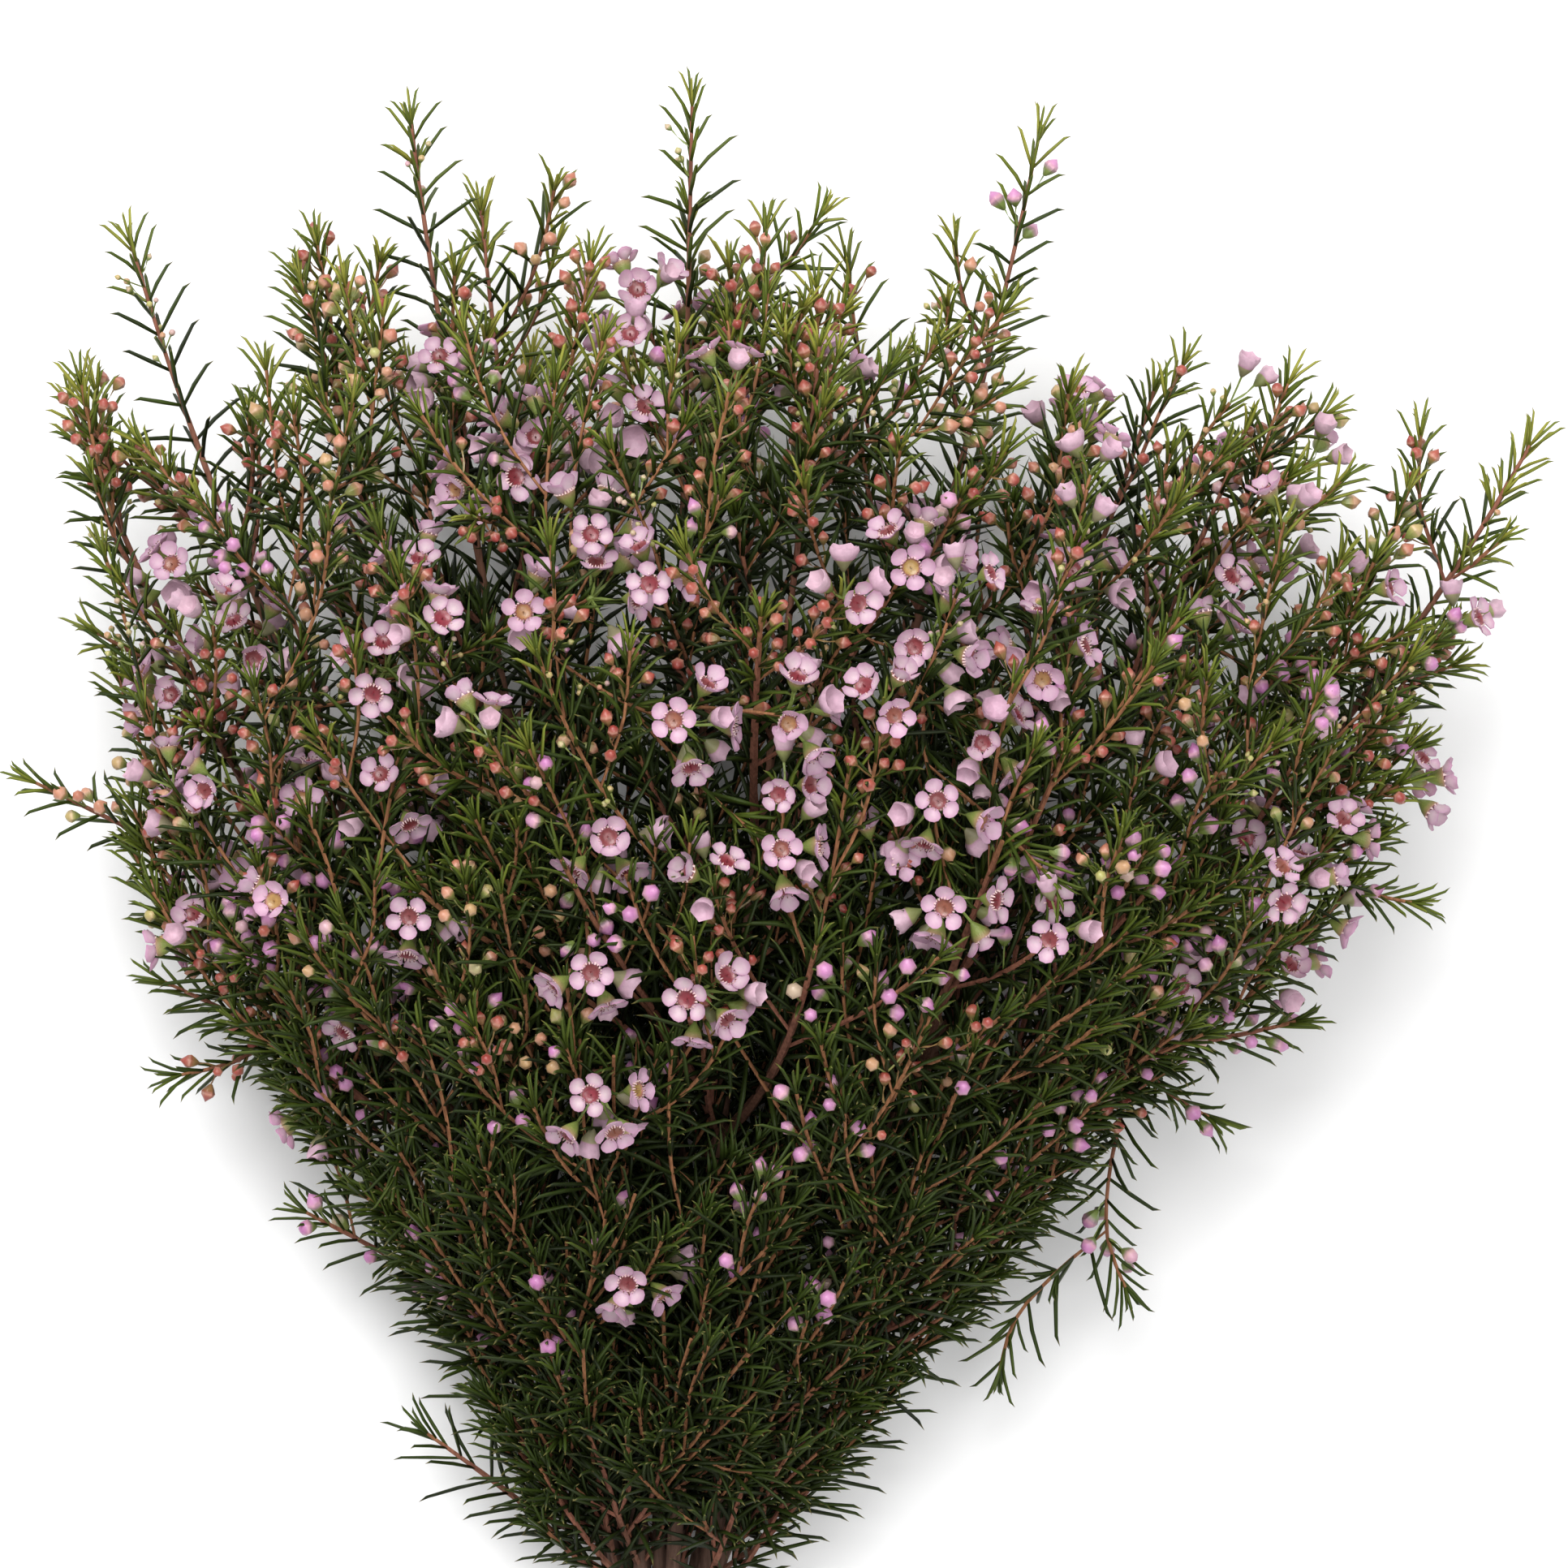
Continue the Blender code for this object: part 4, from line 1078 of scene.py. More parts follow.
class Copies:
    """Copies of shapes at their own places, each with its own shade, which become one mesh."""

    def __init__(self):
        self.places = {}

    def add(self, shape, place, shade):
        self.places.setdefault(shape, []).append((place, shade))

    def mesh(self, name):
        corners, rings, sizes, finishes, tones, shades = [], [], [], [], [], []
        first = 0
        for shape, places in self.places.items():
            matrices = np.array([place for place, _ in places])
            turned_corners = np.einsum("kij,nj->kni", matrices[:, :3, :3], shape.corners)
            corners.append((turned_corners + matrices[:, None, :3, 3]).reshape(-1, 3))
            steps = first + len(shape.corners) * np.arange(len(places))
            rings.append((shape.rings[None, :] + steps[:, None]).ravel())
            sizes.append(np.tile(shape.sizes, len(places)))
            finishes.append(np.tile(shape.finishes, len(places)))
            tones.append(np.tile(shape.tones, len(places)))
            shades.append(np.repeat([shade for _, shade in places], len(shape.corners)))
            first += len(shape.corners) * len(places)
        corners, rings, sizes = np.vstack(corners), np.concatenate(rings), np.concatenate(sizes)
        low = corners[:, 2] < PRESSED
        corners[low, 2] = PRESSED * np.exp((corners[low, 2] - PRESSED) / (2.5 * PRESSED))
        mesh = bpy.data.meshes.new(name)
        mesh.vertices.add(len(corners))
        mesh.vertices.foreach_set("co", corners.astype(np.float32).ravel())
        mesh.loops.add(len(rings))
        mesh.loops.foreach_set("vertex_index", rings.astype(np.int32))
        mesh.polygons.add(len(sizes))
        starts = np.append(0, np.cumsum(sizes)[:-1])
        mesh.polygons.foreach_set("loop_start", starts.astype(np.int32))
        mesh.polygons.foreach_set("material_index", np.concatenate(finishes).astype(np.int32))
        mesh.update(calc_edges=True)
        for layer, values in (("tone", tones), ("shade", shades)):
            made = mesh.attributes.new(layer, "FLOAT", "POINT")
            made.data.foreach_set("value", np.concatenate(values).astype(np.float32))
        return mesh


def needle_shape(bend, hook, rings):
    """A three-sided needle leaf, bent back along its length and hooked at its tip."""
    bm = bmesh.new()

    def middle(share):
        back = bend * share**2 + hook * max(0.0, share - 0.86) / 0.14
        return Vector((back, 0.0, NEEDLE_LENGTH * share))

    _, end = closed_rod(bm, middle(0.0), middle(0.42), NEEDLE_RADIUS * 0.72, NEEDLE_RADIUS, 3)
    for share, girth in rings:
        way = (middle(share + 0.1) - middle(share - 0.1)).normalized()
        end = grow_face(bm, end, middle(share), way, NEEDLE_RADIUS * girth)
    tip = bmesh.ops.poke(bm, faces=[end])["verts"][0]
    tip.co = middle(1.0)
    return Shape(bm, lambda corner: corner.z / NEEDLE_LENGTH)


def lathe(bm, outline, sides, finish=0):
    """A closed body turned round Z, from an outline in mm. It returns its corners."""
    before = set(bm.faces)
    verts = [bm.verts.new((radius * MM, 0.0, height * MM)) for radius, height in outline]
    edges = [bm.edges.new(pair) for pair in zip(verts, verts[1:])]
    spin_round(bm, verts, edges, sides)
    corners = {vert for face in set(bm.faces) - before for vert in face.verts}
    bmesh.ops.remove_doubles(bm, verts=list(corners), dist=0.01 * MM)
    faces = set(bm.faces) - before
    for face in faces:
        face.material_index = finish
    return {vert for face in faces for vert in face.verts}


def bud_shape(pointed):
    """A closed bud: a small cup with a dome of folded petals on it, for a radius of about 1.9 mm."""
    bm = bmesh.new()
    top = BUD_OUTLINE[-1][1]
    lathe(bm, (*BUD_OUTLINE[:-1], (0.0, top + pointed)), 6, BUD)

    def tone(corner):
        height = corner.z / MM
        if height < BUD_LIP + 0.1:
            return 0.5 * height / BUD_LIP
        return min(1.0, 0.7 + 0.3 * (height - BUD_LIP) / (top - BUD_LIP))

    return Shape(bm, tone)


def petal(bm, turn, lift, draw, plain):
    """One rounded petal of a flower, added to bm: a thin dished disc on a narrow claw."""
    part = bmesh.new()
    tone = part.verts.layers.float.new("tone")
    bmesh.ops.create_circle(part, cap_ends=True, segments=8 if plain else 12, radius=1.0)
    inner = list(part.faces)
    for ring in (0.25,) if plain else (0.17, 0.36):
        bmesh.ops.inset_region(part, faces=inner, thickness=ring, use_boundary=True, use_even_offset=True)
    bmesh.ops.poke(part, faces=inner)
    bmesh.ops.solidify(part, geom=list(part.faces), thickness=PETAL_THICKNESS / PETAL_HALF_WIDTH)
    wave = draw_turn(draw)
    width = draw.uniform(0.86, 1.04)
    long = draw.uniform(0.90, 1.06)
    level = math.sqrt(max(0.05, 1.0 - (lift / (2 * PETAL_HALF_LENGTH)) ** 2))
    for vert in part.verts:
        u, v, depth = vert.co
        edge = math.hypot(u, v)
        vert[tone] = min(1.0, edge)
        across = v * width * (1.0 - 0.34 * max(0.0, -u) ** 2)
        reach = max(0.0, (1 + u) * long * PETAL_HALF_LENGTH)
        height = lift * (reach / (2 * PETAL_HALF_LENGTH)) ** 1.3
        height += 0.95 * MM * v * v - 0.45 * MM * (1 - edge * edge)
        height += 0.30 * MM * math.sin(3 * math.atan2(v, u) + wave) * edge**3
        height += depth * PETAL_HALF_WIDTH
        vert.co = Vector((PETAL_FOOT + reach * level, across * PETAL_HALF_WIDTH, height))
    bmesh.ops.rotate(part, verts=part.verts, cent=(0, 0, 0), matrix=Matrix.Rotation(turn, 3, "Z"))
    mesh = mesh_from("petal", part)
    bm.from_mesh(mesh)
    bpy.data.meshes.remove(mesh)


def flower_shape(number, lift, plain=False):
    """An open flower without its cup: five petals, the nectar disc, its style and the stamens."""
    draw = random.Random(f"{SEED} bloom {number}")
    bm = bmesh.new()
    bm.verts.layers.float.new("tone")
    for place in range(PETALS):
        turn = math.tau * place / PETALS + draw.uniform(-0.11, 0.11)
        petal(bm, turn, lift * draw.uniform(0.8, 1.15), draw, plain)
    tone = bm.verts.layers.float["tone"]
    for vert in lathe(bm, DISC_OUTLINE, 8 if plain else 10, DISC):
        vert[tone] = math.hypot(vert.co.x, vert.co.y) / DISC_RADIUS
    add_rod(bm, UP * -0.7 * MM, UP * 0.9 * MM, 0.34 * MM, 0.16 * MM, 4, DISC)
    stamens = STAMENS if plain else 2 * STAMENS
    for place in range(stamens):
        out = turned(ACROSS, UP, math.tau * place / stamens)
        long = place % 2 == 0 and not plain
        foot = out * RIM_RADIUS - UP * 0.15 * MM
        tip = out * (2.45 if long else 2.75) * MM
        tip += UP * (1.1 if long else 0.8) * MM * draw.uniform(0.8, 1.2)
        add_rod(bm, foot, tip, 0.42 * MM, 0.12 * MM, 3, STAMEN)
        if long:
            half = out * 0.2 * MM
            add_rod(bm, tip - half, tip + half, 0.19 * MM, 0.19 * MM, 3, ANTHER)
    return Shape(bm)


def cup_shape(finish=0):
    """The green cup that a flower sits in, from its stalk up to its rim."""
    bm = bmesh.new()
    lathe(bm, CUP_OUTLINE, 8, finish)
    return Shape(bm, lambda corner: (corner.z + CUP_HEIGHT) / CUP_HEIGHT)


def knob_shape():
    """The swollen end of a flowering twig, where the flower stalks leave it."""
    bm = bmesh.new()
    lathe(bm, KNOB_OUTLINE, 8)
    return Shape(bm, lambda corner: 0.2)


def stalk_shape(radius, bend, sides, finish=0):
    """A thin stalk of length 1 mm that is stretched to its real length, bent a little to one side."""
    bm = bmesh.new()
    half = Vector((bend, 0.0, 0.5 * MM))
    _, end = closed_rod(bm, Vector(), half, radius * 0.85, radius, sides)
    grow_face(bm, end, UP * MM, UP, radius * 1.1)
    for face in bm.faces:
        face.material_index = finish
    return Shape(bm, lambda corner: 0.1)


def half_open_shape(number):
    """A half-open flower: a green cup with its five petals still folded over the middle."""
    draw = random.Random(f"{SEED} half open {number}")
    bm = bmesh.new()
    lathe(bm, HALF_OPEN_OUTLINE, 3 * PETALS, HALF_OPEN)
    open_wide = draw.uniform(0.75, 1.15)
    for vert in bm.verts:
        x, y, z = vert.co
        if z > -1.5 * MM and math.hypot(x, y) > 1.0 * MM:
            lobe = abs(math.cos(PETALS / 2 * math.atan2(y, x) + number))
            wide = open_wide * (0.84 + 0.22 * lobe)
            rise = (lobe - 0.6) * 1.2 * MM * (z > -0.2 * MM)
            vert.co = Vector((x * wide, y * wide, z + rise))
    return Shape(bm, lambda corner: min(1.0, max(0.1, (corner.z + 3.0 * MM) / (2.4 * MM))))


# Finishes


class Finish:
    """A procedural material that is put together from a few kinds of node."""

    def __init__(self, name, roughness, specular=0.5):
        self.material = bpy.data.materials.new(name)
        self.material.use_nodes = True
        self.nodes = self.material.node_tree.nodes
        self.links = self.material.node_tree.links
        self.shader = self.nodes["Principled BSDF"]
        self.set("Roughness", roughness)
        self.set("Specular IOR Level", specular)

    def set(self, socket, value):
        self.shader.inputs[socket].default_value = value

    def attribute(self, name):
        node = self.nodes.new("ShaderNodeAttribute")
        node.attribute_name = name
        return node.outputs["Fac"]

    def places(self, stretch=(1.0, 1.0, 1.0)):
        """Object coordinates, stretched."""
        where = self.nodes.new("ShaderNodeTexCoord")
        mapping = self.nodes.new("ShaderNodeMapping")
        mapping.inputs["Scale"].default_value = stretch
        self.links.new(where.outputs["Object"], mapping.inputs["Vector"])
        return mapping.outputs["Vector"]

    def noise(self, scale, detail=3.0, stretch=(1.0, 1.0, 1.0)):
        node = self.nodes.new("ShaderNodeTexNoise")
        node.inputs["Scale"].default_value = scale
        node.inputs["Detail"].default_value = detail
        self.links.new(self.places(stretch), node.inputs["Vector"])
        return node.outputs["Fac"]

    def dots(self, scale):
        """Distance to the nearest of many scattered dots."""
        node = self.nodes.new("ShaderNodeTexVoronoi")
        node.inputs["Scale"].default_value = scale
        self.links.new(self.places(), node.inputs["Vector"])
        return node.outputs["Distance"]

    def ramp(self, factor, stops):
        node = self.nodes.new("ShaderNodeValToRGB")
        elements = node.color_ramp.elements
        while len(elements) < len(stops):
            elements.new(0.5)
        for element, (at, colour) in zip(elements, stops):
            element.position = at
            element.color = (*colour, 1.0)
        self.links.new(factor, node.inputs["Fac"])
        return node.outputs["Color"]

    def spread(self, value, low, high, new_low=0.0, new_high=1.0):
        node = self.nodes.new("ShaderNodeMapRange")
        limits = {"From Min": low, "From Max": high, "To Min": new_low, "To Max": new_high}
        for socket, number in limits.items():
            node.inputs[socket].default_value = number
        self.links.new(value, node.inputs["Value"])
        return node.outputs["Result"]

    def mix(self, factor, first, second, blend="MIX"):
        """Mixes two colours, each an output or a fixed colour, by an output or a fixed share."""
        node = self.nodes.new("ShaderNodeMix")
        node.data_type = "RGBA"
        node.blend_type = blend
        colours = [item for item in node.inputs if item.type == "RGBA"]
        for socket, value in zip((node.inputs["Factor"], *colours), (factor, first, second)):
            if isinstance(value, float):
                socket.default_value = value
            elif isinstance(value, tuple):
                socket.default_value = (*value, 1.0)
            else:
                self.links.new(value, socket)
        return next(item for item in node.outputs if item.type == "RGBA")

    def finish(self, colour, patches, relief):
        """Paints the colour in patches over the relief, and gives the material."""
        self.paint(self.mottled(colour, *patches))
        self.add_relief(*relief)
        return self.material

    def mottled(self, colour, scale, strength):
        """The colour, made a little lighter and darker in patches."""
        grey = self.ramp(self.noise(scale), [(0.25, (0.55, 0.55, 0.55)), (0.75, (1.0, 1.0, 1.0))])
        return self.mix(strength, colour, grey, "MULTIPLY")

    def paint(self, colour):
        self.links.new(colour, self.shader.inputs["Base Color"])

    def add_relief(self, height, strength, depth):
        node = self.nodes.new("ShaderNodeBump")
        node.inputs["Strength"].default_value = strength
        node.inputs["Distance"].default_value = depth
        self.links.new(height, node.inputs["Height"])
        self.links.new(node.outputs["Normal"], self.shader.inputs["Normal"])


def leaf_finish():
    make = Finish("needle_leaf", 0.52, 0.20)
    # Besides each leaf's age, the shade read here holds painted shade deep in the bunch and low down, and
    # painted light near its top
    greens = [
        (0.0, (0.008, 0.013, 0.003)),
        (0.36, (0.038, 0.062, 0.007)),
        (0.70, (0.120, 0.158, 0.017)),
        (1.0, (0.300, 0.300, 0.046)),
    ]
    green = make.mottled(make.ramp(make.attribute("shade"), greens), 90.0, 0.8)
    tip = make.spread(make.attribute("tone"), 0.90, 1.0)
    make.paint(make.mix(tip, green, (0.230, 0.190, 0.060)))
    make.add_relief(make.dots(2200.0), 0.35, 0.15 * MM)
    return make.material


def bark_finish():
    make = Finish("twig_bark", 0.78, 0.2)
    browns = [
        (0.0, (0.135, 0.080, 0.058)),
        (0.45, (0.215, 0.105, 0.068)),
        (0.80, (0.285, 0.112, 0.072)),
        (1.0, (0.315, 0.140, 0.064)),
    ]
    fibres = make.noise(900.0, 6.0, (1.0, 0.14, 1.0))
    grey = make.ramp(fibres, [(0.30, (0.42, 0.38, 0.36)), (0.62, (1.0, 1.0, 1.0))])
    colour = make.mix(0.85, make.ramp(make.attribute("tone"), browns), grey, "MULTIPLY")
    return make.finish(colour, (70.0, 0.6), (fibres, 0.7, 0.45 * MM))


def cut_wood_finish():
    make = Finish("cut_wood", 0.85, 0.2)
    grain = make.noise(1500.0, 4.0)
    make.paint(make.ramp(grain, [(0.3, (0.46, 0.33, 0.19)), (0.7, (0.66, 0.52, 0.33))]))
    make.add_relief(grain, 0.5, 0.2 * MM)
    return make.material


def petal_finish():
    make = Finish("petal", 0.55, 0.35)
    make.set("Subsurface Weight", 0.18)
    make.set("Subsurface Radius", (0.0016, 0.0008, 0.0010))
    make.set("Subsurface Scale", 1.0)
    make.set("Sheen Weight", 0.12)
    make.set("Sheen Roughness", 0.5)
    pinks = [
        (0.0, (0.580, 0.450, 0.475)),
        (0.55, (0.530, 0.370, 0.430)),
        (0.88, (0.440, 0.265, 0.350)),
        (1.0, (0.360, 0.180, 0.275)),
    ]
    deep = make.spread(make.attribute("shade"), 0.0, 1.0, 0.0, 0.55)
    colour = make.mix(deep, make.ramp(make.attribute("tone"), pinks), (0.560, 0.310, 0.460))
    return make.finish(colour, (420.0, 0.35), (make.noise(1600.0, 3.0), 0.25, 0.12 * MM))


def disc_finish():
    make = Finish("nectar_disc", 0.30, 0.6)
    reds = [
        (0.0, (0.220, 0.020, 0.035)),
        (0.70, (0.200, 0.040, 0.040)),
        (0.86, (0.340, 0.140, 0.055)),
        (1.0, (0.420, 0.260, 0.080)),
    ]
    rim = make.spread(make.attribute("tone"), 0.70, 1.0)
    colour = make.mix(rim, make.ramp(make.attribute("shade"), reds), (0.330, 0.100, 0.110))
    return make.finish(colour, (900.0, 0.7), (make.noise(2600.0), 0.4, 0.15 * MM))


def plain_finish(name, roughness, specular, colour, patches):
    """One colour in patches, without relief."""
    make = Finish(name, roughness, specular)
    make.paint(make.mottled(colour, *patches))
    return make.material


def cup_finish():
    make = Finish("flower_cup", 0.48, 0.45)
    greens = [
        (0.0, (0.170, 0.230, 0.050)),
        (0.60, (0.220, 0.260, 0.060)),
        (0.90, (0.330, 0.230, 0.110)),
        (1.0, (0.450, 0.240, 0.200)),
    ]
    colour = make.ramp(make.attribute("tone"), greens)
    return make.finish(colour, (500.0, 0.5), (make.dots(2400.0), 0.5, 0.2 * MM))


def bud_finish():
    make = Finish("bud", 0.38, 0.5)
    shade = make.attribute("shade")
    tone = make.attribute("tone")
    domes = [
        (0.0, (0.290, 0.045, 0.036)),
        (0.30, (0.410, 0.098, 0.066)),
        (0.50, (0.520, 0.240, 0.145)),
        (0.64, (0.420, 0.420, 0.130)),
        (0.82, (0.600, 0.270, 0.480)),
        (1.0, (0.470, 0.170, 0.380)),
    ]
    cups = [
        (0.0, (0.260, 0.110, 0.050)),
        (0.35, (0.220, 0.200, 0.060)),
        (0.60, (0.200, 0.240, 0.060)),
        (1.0, (0.160, 0.220, 0.050)),
    ]
    colour = make.mix(make.spread(tone, 0.30, 0.62), make.ramp(shade, cups), make.ramp(shade, domes))
    pale = make.spread(tone, 0.70, 0.92, 0.35, 0.0)
    lower = make.mix(make.spread(tone, 0.50, 0.60), (0.0, 0.0, 0.0), pale)
    colour = make.mix(lower, colour, (0.680, 0.460, 0.330))
    return make.finish(colour, (450.0, 0.5), (make.dots(1800.0), 0.3, 0.15 * MM))


def half_open_finish():
    make = Finish("half_open_flower", 0.5, 0.4)
    colours = [
        (0.0, (0.150, 0.200, 0.045)),
        (0.55, (0.230, 0.250, 0.070)),
        (0.75, (0.500, 0.280, 0.380)),
        (1.0, (0.570, 0.380, 0.450)),
    ]
    deep = make.spread(make.attribute("shade"), 0.0, 1.0, 0.0, 0.5)
    colour = make.mix(deep, make.ramp(make.attribute("tone"), colours), (0.460, 0.220, 0.380))
    return make.finish(colour, (500.0, 0.6), (make.noise(1200.0, 3.0), 0.4, 0.2 * MM))


def rubber_finish():
    make = Finish("tan_rubber", 0.62, 0.35)
    grain = make.noise(1400.0, 5.0)
    colour = make.ramp(grain, [(0.3, (0.480, 0.330, 0.190)), (0.7, (0.600, 0.440, 0.270))])
    return make.finish(colour, (120.0, 0.4), (grain, 0.35, 0.15 * MM))


def floor_finish():
    make = Finish("pale_floor", 0.9, 0.2)
    make.paint(make.ramp(make.noise(3.0), [(0.3, (0.86, 0.86, 0.86)), (0.7, (0.88, 0.88, 0.88))]))
    return make.material


def make_finishes():
    return {
        "leaf": leaf_finish(),
        "bark": bark_finish(),
        "cut_wood": cut_wood_finish(),
        "petal": petal_finish(),
        "disc": disc_finish(),
        "stamen": plain_finish("stamen", 0.5, 0.4, (0.760, 0.560, 0.540), (1200.0, 0.4)),
        "anther": plain_finish("anther", 0.6, 0.3, (0.160, 0.045, 0.050), (1500.0, 0.6)),
        "half_open": half_open_finish(),
        "cup": cup_finish(),
        "bud": bud_finish(),
        "rubber": rubber_finish(),
        "floor": floor_finish(),
    }


# The pieces


def add_piece(name, mesh, finishes, node, sharp=SHARP):
    """Sets a finished mesh in the scene as one piece, for the solid that it stands for."""
    made = bpy.data.objects.new(name, mesh)
    bpy.context.scene.collection.objects.link(made)
    for finish in finishes:
        mesh.materials.append(finish)
    if sharp:
        mesh.shade_smooth()
        mesh.set_sharp_from_angle(angle=sharp)
    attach(made, "root")
    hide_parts(node)


def bark_age(radius):
    """How young the bark looks, from 0 on a thick stem to 1 on a green tip."""
    return float(np.interp(radius, *BARK_AGES))


def grow_bark(bm, tone, shoot, number, line):
    """A stem or side shoot without its leaves: a tube through the points of its line."""
    draw = random.Random(f"{SEED} bark {number}")
    is_stem = number == shoot.stem
    sides = STEM_BARK_SIDES if is_stem else SHOOT_BARK_SIDES
    points = [Vector(point) for point in line.points]
    made, end = closed_rod(bm, points[0], points[1], line.radii[0] * 0.9, line.radii[1], sides)
    for vert in made:
        vert[tone] = bark_age(line.radii[0])
    if is_stem:
        start = min(faces_of(made), key=lambda face: face.calc_center_median().y)
        finish_cut(bm, start, tone)
    for i in range(2, len(points)):
        ahead = points[min(i + 1, len(points) - 1)] - points[i - 1]
        girth = line.radii[i] * draw.uniform(0.92, 1.10)
        if is_stem:
            girth *= 1.0 + STEM_SWELL * float(np.interp(points[i].y, *SWELL_ALONG))
        else:
            girth *= STOUT_BRANCH if shoot.is_long_branch else STOUT
        end = grow_face(bm, end, on_table(points[i], girth), ahead.normalized(), girth)
        for vert in end.verts:
            vert[tone] = bark_age(line.radii[i])


def finish_cut(bm, face, tone):
    """The sawn end of a stem: a rim of bark round the pale wood, with a hole for the pith."""
    bmesh.ops.inset_region(bm, faces=[face], thickness=CUT_RIM, use_even_offset=True)
    face.material_index = 1
    bmesh.ops.inset_region(bm, faces=[face], thickness=CUT_WOOD, depth=-0.1 * MM, use_even_offset=True)
    for vert in face.verts:
        vert[tone] = 0.3


def outside_room(point):
    """True if a point is under the table or too far out of the solids' box."""
    return point.z < LOWEST or any(
        value < low - EDGE_ROOM or value > high + EDGE_ROOM
        for value, low, high in zip(point, CAD_LOW, CAD_HIGH)
    )


class BloomFaces:
    """The open flowers and the bare branches, each with the room before it that leaves keep free."""

    def __init__(self, bunch):
        flowers = [flower for _, _, cluster in bunch.clusters for flower in cluster]
        middles = [tuple(flower[1]) for flower in flowers]
        axes = [tuple(flower[2]) for flower in flowers]
        for shoot in bunch.shoots:
            if shoot.is_long_branch:
                points = Line(shoot, 5.0 * MM).points
                first, last = [round(share * len(points)) for share in LONG_BRANCH_BARE]
                middles += [tuple(point) for point in points[first:last]]
                axes += [(0.0, 0.0, 1.0)] * (last - first)
        self.middles = np.array(middles)
        self.axes = np.array(axes)

    def hidden_by(self, points, radius, reach):
        """True if a point lies in a flower, or in front of it by less than reach."""
        away = np.array([tuple(point) for point in points])[:, None, :] - self.middles[None, :, :]
        along = np.einsum("pfi,fi->pf", away, self.axes)
        aside = np.linalg.norm(away - along[:, :, None] * self.axes, axis=2)
        return bool(((aside < radius) & (along > -FLOWER_BACK) & (along < reach)).any())


class Dressing:
    """Leaves, buds and flowering tips for every stem, gathered before they become pieces."""

    def __init__(self, bunch, first_added):
        self.first_added = first_added
        self.leaves = [Copies() for _ in range(STEMS)]
        self.tips = [Copies() for _ in range(STEMS)]
        self.needles = [needle_shape(bend * MM, hook * MM, ((0.86, 0.80),)) for bend, hook in NEEDLE_FORMS]
        self.plain_needles = [needle_shape(bend * MM, 0.0, ()) for bend, _ in NEEDLE_FORMS]
        self.cup = cup_shape(CUP)
        self.stalk = stalk_shape(0.30 * MM, 0.55 * MM, 3, BUD)
        self.buds = [bud_shape(pointed) for pointed in BUD_POINTS]
        self.open_forms = [flower_shape(20 + number, lift * MM, True) for number, lift in enumerate(LIFTS)]
        self.half_open = [half_open_shape(number) for number in range(HALF_OPEN_FORMS)]
        self.bloom_places = [flower[1] for _, _, cluster in bunch.clusters for flower in cluster]
        self.bud_places = np.zeros((0, 3))
        self.faces = BloomFaces(bunch)

    def dress(self, number, shoot, line):
        """Every pair of leaves along a shoot, with its tufts and buds, and then what ends the shoot."""
        draw = random.Random(f"{SEED} dress {number}")
        at = line.length * STEM_NEEDLES_FROM if number == shoot.stem else FIRST_PAIR
        quarter = draw_turn(draw)
        age = draw.uniform(-0.16, 0.16)
        (colour, size, share), zone = bud_kind(line, draw)
        while at < line.length - 1.0 * MM:
            point, direction, radius = line.place(at)
            left = line.length - at
            youth = max(0.0, 1.0 - left / SHORT_NEEDLES)
            low_down = float(np.interp(point.y, *LOW_DOWN))
            across = turned(sideways(direction), direction, quarter)
            with_tuft = draw.random() < TUFT_SHARE and youth < 0.7
            for sign in (1.0, -1.0):
                side = turned(across * sign, direction, draw.uniform(-0.2, 0.2))
                spread = NEEDLE_SPREAD + (NEEDLE_SPREAD_AT_TIP - NEEDLE_SPREAD) * youth
                way = leaning(direction, side, spread * draw.uniform(0.72, 1.30))
                length = NEEDLE_LENGTH * (1.0 - 0.34 * youth) * draw.uniform(0.72, 1.12) * low_down
                shade = min(1.0, max(0.0, 0.34 + age + draw.uniform(-0.18, 0.18) + 0.46 * youth**1.3))
                root = point + side * radius * 0.5
                self.add_needle(shoot.stem, root, way, -direction, length, 1.0 - 0.2 * youth, shade, draw)
                if with_tuft:
                    self.add_tuft(shoot.stem, root, direction, side, shade, draw)
                if zone[0] < left < zone[1] and draw.random() < share:
                    self.add_buds(shoot.stem, root, direction, side, colour, size, draw)
            quarter += QUARTER + draw.uniform(-0.15, 0.15)
            at += (PAIR_SPACING + (PAIR_SPACING_AT_TIP - PAIR_SPACING) * youth) * low_down
        if not shoot.carries_flowers and not self.flowers_at_tip(number, shoot.stem, line, draw):
            self.add_crown(shoot.stem, line, draw)

    def add_needle(self, stem, root, way, back, length, girth, shade, draw):
        """One leaf, with painted shade deep in the bunch, unless it has no room or would hide a flower."""
        tip = root + way * length
        middle = root + way * length * 0.6
        if outside_room(tip) or root.y < NEEDLES_FROM or self.faces.hidden_by([tip, middle], *LEAF_CLEAR):
            return
        out = how_far_out(middle)
        forms = self.needles
        if out < DEEP:
            forms = self.plain_needles
            girth *= 1.25
            length *= 1.12
        # Painted shade: the deeper in the bunch a leaf lies, the darker its colour, down to a fifth of it
        shade *= min(1.0, max(0.2, 0.2 + 1.1 * (out - 0.40)))
        # Painted light and shade along the bunch: leaves low down are coloured darker, leaves near the top
        # lighter
        shade = min(1.0, shade * float(np.interp(middle.y, *LEAF_PAINTED_LIGHT)))
        place = placed(root, way, back, girth, length / NEEDLE_LENGTH)
        self.leaves[stem].add(draw.choice(forms), place, shade)

    def add_tuft(self, stem, root, direction, side, shade, draw):
        """Short young needles in an axil."""
        for _ in range(draw.randint(2, 3)):
            spread = math.radians(draw.uniform(14, 44))
            way = leaning(direction, turned(side, direction, draw.uniform(-0.8, 0.8)), spread)
            length = NEEDLE_LENGTH * draw.uniform(0.40, 0.66)
            self.add_needle(stem, root, way, -direction, length, 0.75, min(1.0, shade + 0.22), draw)

